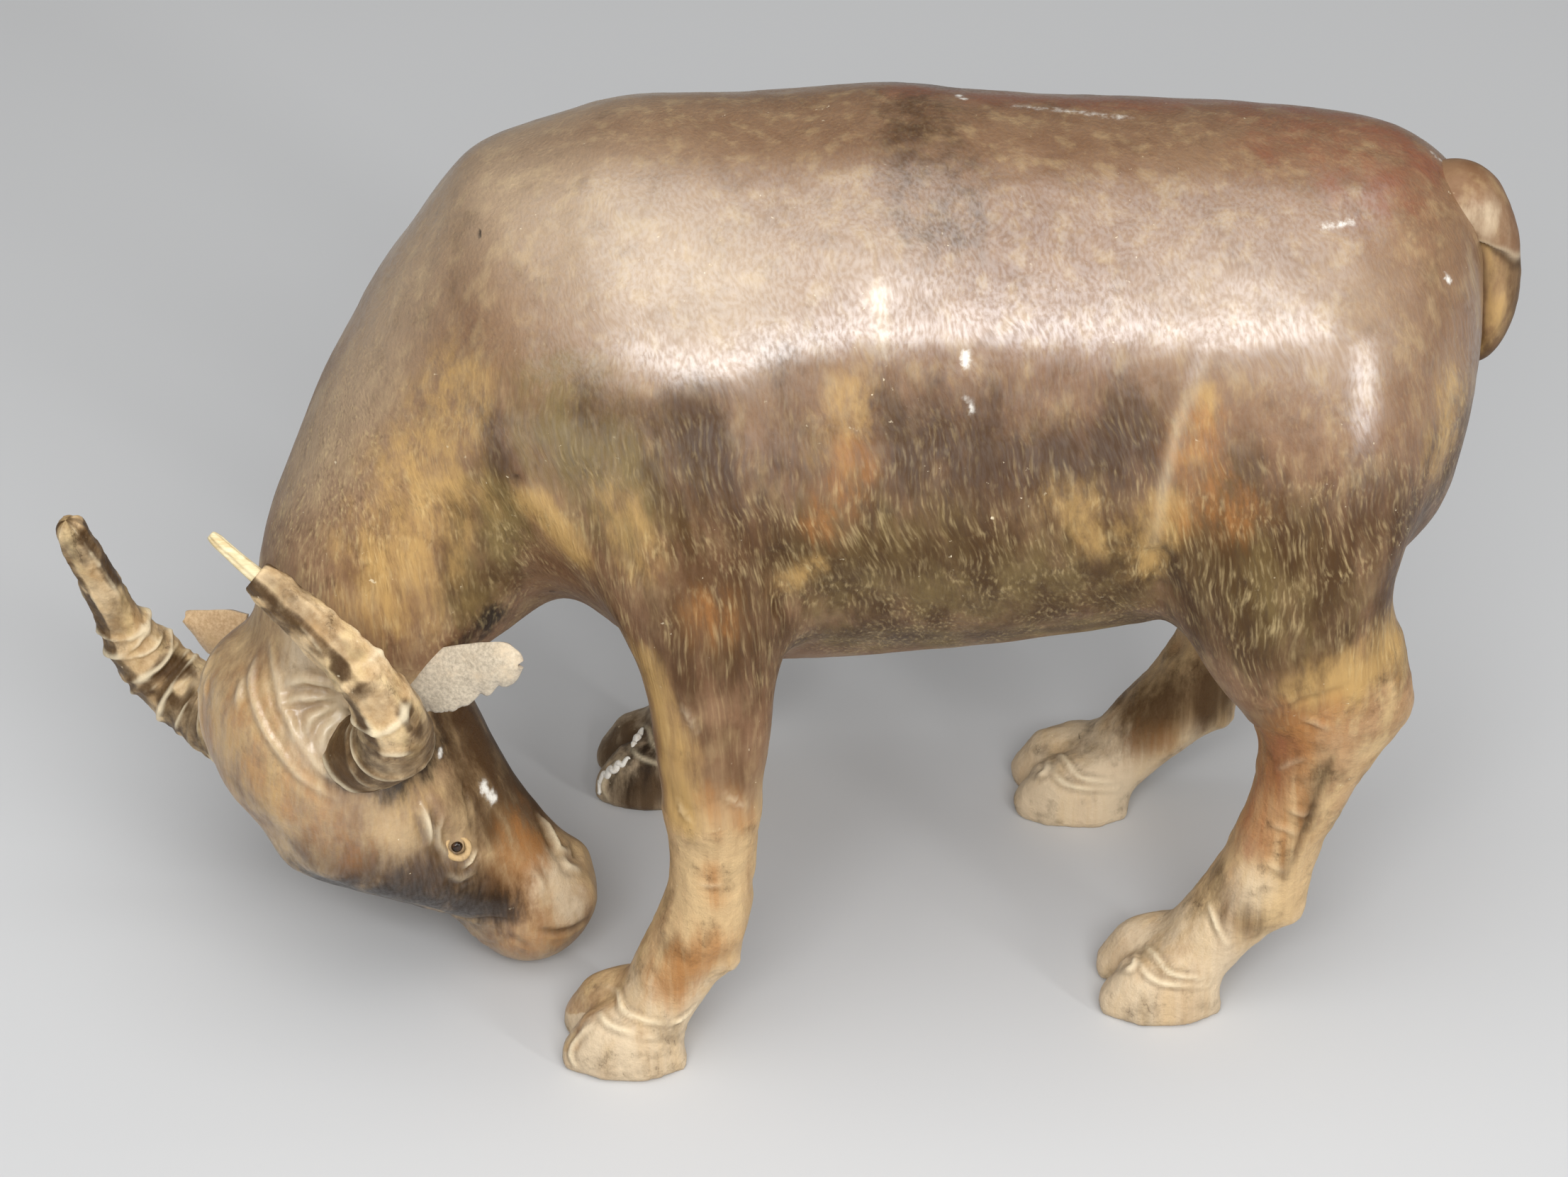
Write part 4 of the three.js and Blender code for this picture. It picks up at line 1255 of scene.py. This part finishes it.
BROWN = srgb(140, 108, 80)
BROWN_SHADE = srgb(124, 91, 65)
LIMB_TAN = srgb(184, 146, 106)
LIMB_SHADE = srgb(142, 106, 72)
HORN_PALE = srgb(226, 199, 158)
HORN_SHADE = srgb(182, 148, 104)
DARK_BROWN = srgb(66, 41, 14)
RED_BROWN = srgb(138, 82, 58)
OCHRE = srgb(202, 164, 102)
ORANGE = srgb(178, 122, 68)
OLIVE = srgb(120, 102, 60)
TAN = srgb(212, 182, 136)
BUFF = srgb(219, 199, 169)
STRAW = srgb(238, 212, 156)
CREAM = srgb(246, 230, 196)
UMBER = srgb(58, 39, 22)
# Near-black brown, for painted shade under the jaw, throat and near horn and on the far front hoof
SHADOW_BROWN = srgb(34, 24, 15)
WHITE = srgb(246, 242, 232)
# Each dye: mask, colour, size of its patches in millimetres and how well it covers
DYES = (
    ("tan", TAN, 9.0, 0.9),
    ("pale", BUFF, 7.0, 0.85),
    ("olive", OLIVE, 7.0, 0.85),
    ("dark", DARK_BROWN, 8.0, 0.9),
    ("ochre", OCHRE, 4.5, 0.75),
    ("orange", ORANGE, 4.0, 0.75),
    ("red", RED_BROWN, 7.0, 0.8),
    # The near-black dye is painted shade
    ("soot", SHADOW_BROWN, 4.0, 0.95),
)
FLOAT = "NodeSocketFloat"
VECTOR = "NodeSocketVector"


def fill_inputs(tree, node, values):
    for key, value in values.items():
        if isinstance(value, bpy.types.NodeSocket):
            tree.links.new(value, node.inputs[key])
        else:
            node.inputs[key].default_value = value


def add(tree, kind, values=None, **settings):
    """A node with its settings, and values or links on its inputs."""
    node = tree.nodes.new(kind)
    for key, value in settings.items():
        setattr(node, key, value)
    fill_inputs(tree, node, values or {})
    return node


def place_group(tree, group, values):
    node = add(tree, "ShaderNodeGroup", node_tree=group)
    fill_inputs(tree, node, values)
    return node.outputs


def times(tree, first, second):
    return add(tree, "ShaderNodeMath", {0: first, 1: second}, operation="MULTIPLY").outputs[0]


def plus(tree, first, second):
    return add(tree, "ShaderNodeMath", {0: first, 1: second}, operation="ADD").outputs[0]


def spread(tree, value, low, high, start=0.0, end=1.0):
    """The value, mapped so that low and high become start and end."""
    limits = {"Value": value, "From Min": low, "From Max": high, "To Min": start, "To Max": end}
    return add(tree, "ShaderNodeMapRange", limits, interpolation_type="SMOOTHSTEP").outputs[0]


def layer(tree, below, colour, mask):
    """A colour laid over another by a mask."""
    return add(tree, "ShaderNodeMix", {0: mask, 6: below, 7: colour}, data_type="RGBA").outputs[2]


def layers(tree, colour, coats):
    """A colour under coats of other colours, each with its mask and how well it covers."""
    for coat, mask, amount in coats:
        colour = layer(tree, colour, coat, times(tree, mask, amount))
    return colour


def moved(tree, vector, location=(0, 0, 0), scale=(1, 1, 1)):
    """The vector, stretched and shifted."""
    values = {"Vector": vector, "Location": location, "Scale": scale}
    return add(tree, "ShaderNodeMapping", values).outputs[0]


def bumped(tree, height, strength, depth, below=None):
    """The surface's normal, raised by a height. The depth is in millimetres."""
    values = {"Height": height, "Strength": strength, "Distance": depth * MM}
    if below is not None:
        values["Normal"] = below
    return add(tree, "ShaderNodeBump", values).outputs[0]


def noise_at(tree, vector, size, detail=3.0, roughness=0.55):
    """Noise with features of that size, where the vector is in millimetres."""
    values = {"Vector": vector, "Scale": 1 / size, "Detail": detail, "Roughness": roughness}
    return add(tree, "ShaderNodeTexNoise", values).outputs["Fac"]


def new_group(name, inputs, outputs):
    group = bpy.data.node_groups.new(name, "ShaderNodeTree")
    for key, kind in inputs.items():
        group.interface.new_socket(key, in_out="INPUT", socket_type=kind)
    for key, kind in outputs.items():
        group.interface.new_socket(key, in_out="OUTPUT", socket_type=kind)
    return group, group.nodes.new("NodeGroupInput").outputs, group.nodes.new("NodeGroupOutput").inputs


def make_rubbed():
    """A dye mask, broken up as if rubbed on by hand."""
    inputs = {"Mask": FLOAT, "Place": VECTOR, "Size": FLOAT}
    group, given, out = new_group("rubbed_dye", inputs, {"Mask": FLOAT})
    fineness = add(group, "ShaderNodeMath", {0: 1.0, 1: given["Size"]}, operation="DIVIDE").outputs[0]
    values = {"Vector": given["Place"], "Scale": fineness, "Detail": 5.0, "Roughness": 0.65}
    patch = add(group, "ShaderNodeTexNoise", values).outputs["Fac"]
    total = plus(group, given["Mask"], spread(group, patch, 0.25, 0.75, -0.4, 0.4))
    kept = times(group, spread(group, total, -0.05, 1.05), spread(group, given["Mask"], 0.0, 0.4))
    group.links.new(kept, out["Mask"])
    return group


HAIR_SCALE = (1.4, 1.1, 0.2)  # strokes for each millimetre across, and few along their run


def make_hair():
    """Fine strokes of hair in tufts: light ones, dark ones and their height."""
    outputs = {"Light": FLOAT, "Dark": FLOAT, "Height": FLOAT}
    group, given, out = new_group("hair_strokes", {"Comb": VECTOR}, outputs)
    drift = add(group, "ShaderNodeTexNoise", {"Vector": given["Comb"], "Scale": 0.05, "Detail": 2.0})
    sway_by = {0: drift.outputs["Color"], 1: (7.0, 7.0, 0.0)}
    sway = add(group, "ShaderNodeVectorMath", sway_by, operation="MULTIPLY").outputs[0]
    comb = add(group, "ShaderNodeVectorMath", {0: given["Comb"], 1: sway}, operation="ADD").outputs[0]
    tufts = noise_at(group, given["Comb"], 9.0, 3.0)
    in_tufts = spread(group, tufts, 0.3, 0.65)
    for name, offset in (("Light", 0.0), ("Dark", 31.0)):
        place = moved(group, comb, (offset, offset, offset), HAIR_SCALE)
        values = {"Vector": place, "Scale": 1.0, "Detail": 3.0}
        strokes = add(group, "ShaderNodeTexNoise", values).outputs["Fac"]
        group.links.new(times(group, spread(group, strokes, 0.45, 0.8), in_tufts), out[name])
    group.links.new(strokes, out["Height"])
    return group


def make_grain():
    """Wrinkles of the leather, specks where the dye is rubbed through, and patches of several sizes."""
    names = ("Height", "Specks", "Patches", "Blotches", "Smudges", "Cracks")
    group, given, out = new_group("leather_grain", {"Place": VECTOR}, {name: FLOAT for name in names})
    place = given["Place"]
    drawn_out = moved(group, place, (31.0, 7.0, 3.0), (1.0, 1.0, 0.4))
    aside = moved(group, place, (-12.0, 40.0, 9.0))
    dots = spread(group, noise_at(group, place, 1.5, 3.0), 0.7, 0.76)
    clusters = spread(group, noise_at(group, place, 18.0, 2.0), 0.45, 0.7)
    smudges = spread(group, noise_at(group, aside, 8.0, 5.0, 0.62), 0.5, 0.72)
    veins = noise_at(group, drawn_out, 5.0, 4.0, 0.6)
    from_middle = add(group, "ShaderNodeMath", {0: veins, 1: 0.5}, operation="SUBTRACT").outputs[0]
    thin = add(group, "ShaderNodeMath", {0: from_middle}, operation="ABSOLUTE").outputs[0]
    results = {
        "Height": noise_at(group, place, 2.0, 6.0, 0.65),
        "Specks": times(group, dots, clusters),
        "Patches": noise_at(group, place, 11.0, 6.0, 0.7),
        "Blotches": spread(group, noise_at(group, drawn_out, 4.5, 4.0, 0.55), 0.48, 0.7),
        "Smudges": smudges,
        "Cracks": times(group, spread(group, thin, 0.0, 0.02, 1.0, 0.0), smudges),
    }
    for name, value in results.items():
        group.links.new(value, out[name])
    return group


RUBBED = make_rubbed()
HAIR = make_hair()
GRAIN = make_grain()


def new_material(name):
    material = bpy.data.materials.new(name)
    material.use_nodes = True
    tree = material.node_tree
    return material, tree, tree.nodes["Principled BSDF"]


def place_in_mm(tree):
    place = add(tree, "ShaderNodeTexCoord").outputs["Object"]
    return add(tree, "ShaderNodeVectorMath", {0: place, "Scale": 1 / MM}, operation="SCALE").outputs[0]


def mask_named(tree, name):
    return add(tree, "ShaderNodeAttribute", attribute_name=name).outputs["Fac"]


WAX_IOR = 2.1
WAX_ROUGHNESS = 0.32
LEATHER_SPECULAR = 0.15
CHIP_SIZE = 1.6
DYE_SCALE = (1.0, 1.0, 0.3)  # dye is rubbed on along the hair


def make_leather(name, ground, shade, mottled, gloss, grain_depth=0.2):
    """Dyed leather: a ground colour, dyes by their masks with painted shade and a painted sheen among them,
    hair strokes, worn folds, and grime with painted shade in grooves and gaps.
    """
    material, tree, shader = new_material(name)
    place = place_in_mm(tree)
    comb = add(tree, "ShaderNodeAttribute", attribute_name="comb").outputs["Vector"]
    grain = place_group(tree, GRAIN, {"Place": place})
    strokes = place_group(tree, HAIR, {"Comb": comb})
    brushed = mask_named(tree, "strokes")
    chips = place_group(tree, RUBBED, {"Mask": mask_named(tree, "chip"), "Place": place, "Size": CHIP_SIZE})
    under_dye = (
        (shade, spread(tree, grain["Patches"], 0.35, 0.68), 1.0),
        (STRAW, grain["Blotches"], 0.45 * mottled),
        # A painted sheen on the upper neck, withers and hip
        (BUFF, mask_named(tree, "faded"), 0.7),
    )
    over_dye = (
        (DARK_BROWN, grain["Smudges"], 0.55 * mottled),
        (UMBER, grain["Cracks"], 0.6 * mottled),
        (UMBER, times(tree, strokes["Dark"], brushed), 0.45),
        (STRAW, times(tree, strokes["Light"], brushed), 0.36),
        # Grooves, holes, gaps and undersides: grime together with painted shade
        (UMBER, mask_named(tree, "grime_and_shade"), 0.7),
        (CREAM, mask_named(tree, "worn"), 0.8),
        (CREAM, grain["Specks"], 0.75),
        (WHITE, chips["Mask"], 1.0),
    )
    colour = layers(tree, ground, under_dye)
    rubbed_on = moved(tree, comb, scale=DYE_SCALE)
    for mask, dye, size, amount in DYES:
        values = {"Mask": mask_named(tree, mask), "Place": rubbed_on, "Size": size}
        rubbed = place_group(tree, RUBBED, values)
        colour = layer(tree, colour, dye, times(tree, rubbed["Mask"], amount))
    colour = layers(tree, colour, over_dye)
    tree.links.new(colour, shader.inputs["Base Color"])
    rough = spread(tree, grain["Patches"], 0.3, 0.7, gloss - 0.05, gloss + 0.1)
    tree.links.new(rough, shader.inputs["Roughness"])
    waxed = times(tree, mask_named(tree, "polish"), spread(tree, strokes["Height"], 0.3, 0.7, 0.4, 1.0))
    tree.links.new(waxed, shader.inputs["Coat Weight"])
    shader.inputs["Coat IOR"].default_value = WAX_IOR
    shader.inputs["Coat Roughness"].default_value = WAX_ROUGHNESS
    shader.inputs["Specular IOR Level"].default_value = LEATHER_SPECULAR
    wrinkled = bumped(tree, grain["Height"], grain_depth, 0.6)
    hair = times(tree, strokes["Height"], mask_named(tree, "hair"))
    tree.links.new(bumped(tree, hair, 0.5, 0.4, wrinkled), shader.inputs["Normal"])
    return material


def make_suede(name, dark, light, rubbed):
    material, tree, shader = new_material(name)
    place = place_in_mm(tree)
    grain = place_group(tree, GRAIN, {"Place": place})
    nap = noise_at(tree, place, 0.8, 6.0, 0.7)
    colour = layer(tree, dark, light, spread(tree, nap, 0.3, 0.7))
    colour = layer(tree, colour, rubbed, spread(tree, grain["Patches"], 0.5, 0.75))
    tree.links.new(colour, shader.inputs["Base Color"])
    shader.inputs["Roughness"].default_value = 0.9
    shader.inputs["Sheen Weight"].default_value = 0.3
    tree.links.new(bumped(tree, nap, 0.5, 0.3), shader.inputs["Normal"])
    return material


FIBRE_SCALE = (0.08, 0.9, 0.9)


def make_wood(name, light, dark):
    material, tree, shader = new_material(name)
    fibre = noise_at(tree, moved(tree, place_in_mm(tree), scale=FIBRE_SCALE), 1.0, 4.0)
    tree.links.new(layer(tree, light, dark, spread(tree, fibre, 0.35, 0.7)), shader.inputs["Base Color"])
    tree.links.new(bumped(tree, fibre, 0.3, 0.3), shader.inputs["Normal"])
    shader.inputs["Roughness"].default_value = 0.6
    return material


def make_glass_bead(name):
    material, tree, shader = new_material(name)
    depth = noise_at(tree, place_in_mm(tree), 1.5)
    colour = layer(tree, srgb(34, 22, 14), srgb(70, 46, 28), spread(tree, depth, 0.4, 0.7))
    tree.links.new(colour, shader.inputs["Base Color"])
    shader.inputs["Roughness"].default_value = 0.15
    return material


def make_filler_paste(name):
    material, tree, shader = new_material(name)
    chalk = noise_at(tree, place_in_mm(tree), 0.9, 4.0)
    tree.links.new(layer(tree, WHITE, BUFF, spread(tree, chalk, 0.5, 0.8)), shader.inputs["Base Color"])
    shader.inputs["Roughness"].default_value = 0.7
    return material


BODY_LEATHER = make_leather("body_leather", BROWN, BROWN_SHADE, mottled=0.35, gloss=0.4)
FACE_LEATHER = make_leather("face_leather", BROWN, BROWN_SHADE, mottled=0.4, gloss=0.36, grain_depth=0.7)
LIMB_LEATHER = make_leather("limb_leather", LIMB_TAN, LIMB_SHADE, mottled=0.8, gloss=0.42, grain_depth=0.9)
HORN_LEATHER = make_leather("horn_leather", HORN_PALE, HORN_SHADE, mottled=0.9, gloss=0.4, grain_depth=0.8)
SUEDE = {
    "left": make_suede("grey_suede", srgb(176, 162, 140), srgb(222, 208, 184), BUFF),
    "right": make_suede("tan_suede", srgb(196, 160, 118), srgb(228, 198, 156), TAN),
}
WOOD = make_wood("core_wood", srgb(214, 184, 140), srgb(176, 140, 96))
CANE = make_wood("cane", srgb(240, 226, 186), srgb(206, 182, 134))
GLASS = make_glass_bead("bead")
PASTE = make_filler_paste("filler_paste")


def dress(piece, material):
    piece.data.materials.clear()
    piece.data.materials.append(material)


def leather_for(panel):
    if panel in TRUNK_PANELS:
        return BODY_LEATHER
    return LIMB_LEATHER if panel in LOW_PANELS else FACE_LEATHER


for name, piece in leather_pieces.items():
    dress(piece, leather_for(name))
for piece in horn_pieces:
    dress(piece, HORN_LEATHER)
for side, piece in ear_pieces.items():
    dress(piece, SUEDE[side])
for piece in rim_pieces:
    dress(piece, LIMB_LEATHER)
for piece in bead_pieces:
    dress(piece, GLASS)
for piece in filler_pieces:
    dress(piece, PASTE)
dress(tail_piece, BODY_LEATHER)
dress(cane_piece, CANE)
for name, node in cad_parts.items():
    if "core" in name or "dowel" in name:
        dress(node, CANE if "horn" in name or "tail" in name else WOOD)

# Stage: floor, camera and light

FLOOR_HALF = 3000
FLOOR_CORNERS = ((-1, -1), (1, -1), (1, 1), (-1, 1))
FLOOR_COLOUR = srgb(206, 207, 208)
ROOM_COLOUR = (0.88, 0.87, 0.86, 1)
ROOM_STRENGTH = 0.15
LAMPS = {  # place, the point that it faces, width and height, in metres, and watts
    "ceiling": ((0, -0.4, 1.4), (0, 0, 0.1), (1.6, 1.6), 16.5),
    "window": ((0.05, -1.05, 0.9), (0, 0, 0.15), (1.2, 0.3), 12),
    "doorway": ((1.0, -0.95, 0.44), (0.12, -0.04, 0.15), (0.1, 0.4), 4.5),
}


def make_floor():
    corners = [(FLOOR_HALF * x, FLOOR_HALF * y, 0) for x, y in FLOOR_CORNERS]
    floor = shown("floor", new_mesh("floor", corners, [(0, 1, 2, 3)]))
    material, _, shader = new_material("floor_paper")
    shader.inputs["Base Color"].default_value = FLOOR_COLOUR
    shader.inputs["Roughness"].default_value = 0.8
    dress(floor, material)


def make_camera():
    data = bpy.data.cameras.new("camera")
    data.sensor_width = SENSOR
    data.lens = PHOTO_FOCAL * SENSOR / PHOTO_SIZE[0]
    camera = bpy.data.objects.new("camera", data)
    camera.location = EYE_POINT * MM
    camera.rotation_euler = (math.pi / 2 - LOOK_DOWN, 0, 0)
    bpy.context.scene.collection.objects.link(camera)
    bpy.context.scene.camera = camera


def soft_lamp(name, place, target, size, power):
    data = bpy.data.lights.new(name, "AREA")
    data.shape = "RECTANGLE"
    data.size, data.size_y = size
    data.energy = power
    lamp = bpy.data.objects.new(name, data)
    lamp.location = place
    way = Vector(target) - Vector(place)
    lamp.rotation_euler = way.to_track_quat("-Z", "Y").to_euler()
    bpy.context.scene.collection.objects.link(lamp)


def light_room(colour, strength):
    world = bpy.data.worlds.new("room")
    world.use_nodes = True
    background = world.node_tree.nodes["Background"]
    background.inputs["Color"].default_value = colour
    background.inputs["Strength"].default_value = strength
    bpy.context.scene.world = world


make_floor()
make_camera()
light_room(ROOM_COLOUR, ROOM_STRENGTH)
for name, settings in LAMPS.items():
    soft_lamp(name, *settings)
bpy.context.scene.view_settings.view_transform = "Standard"
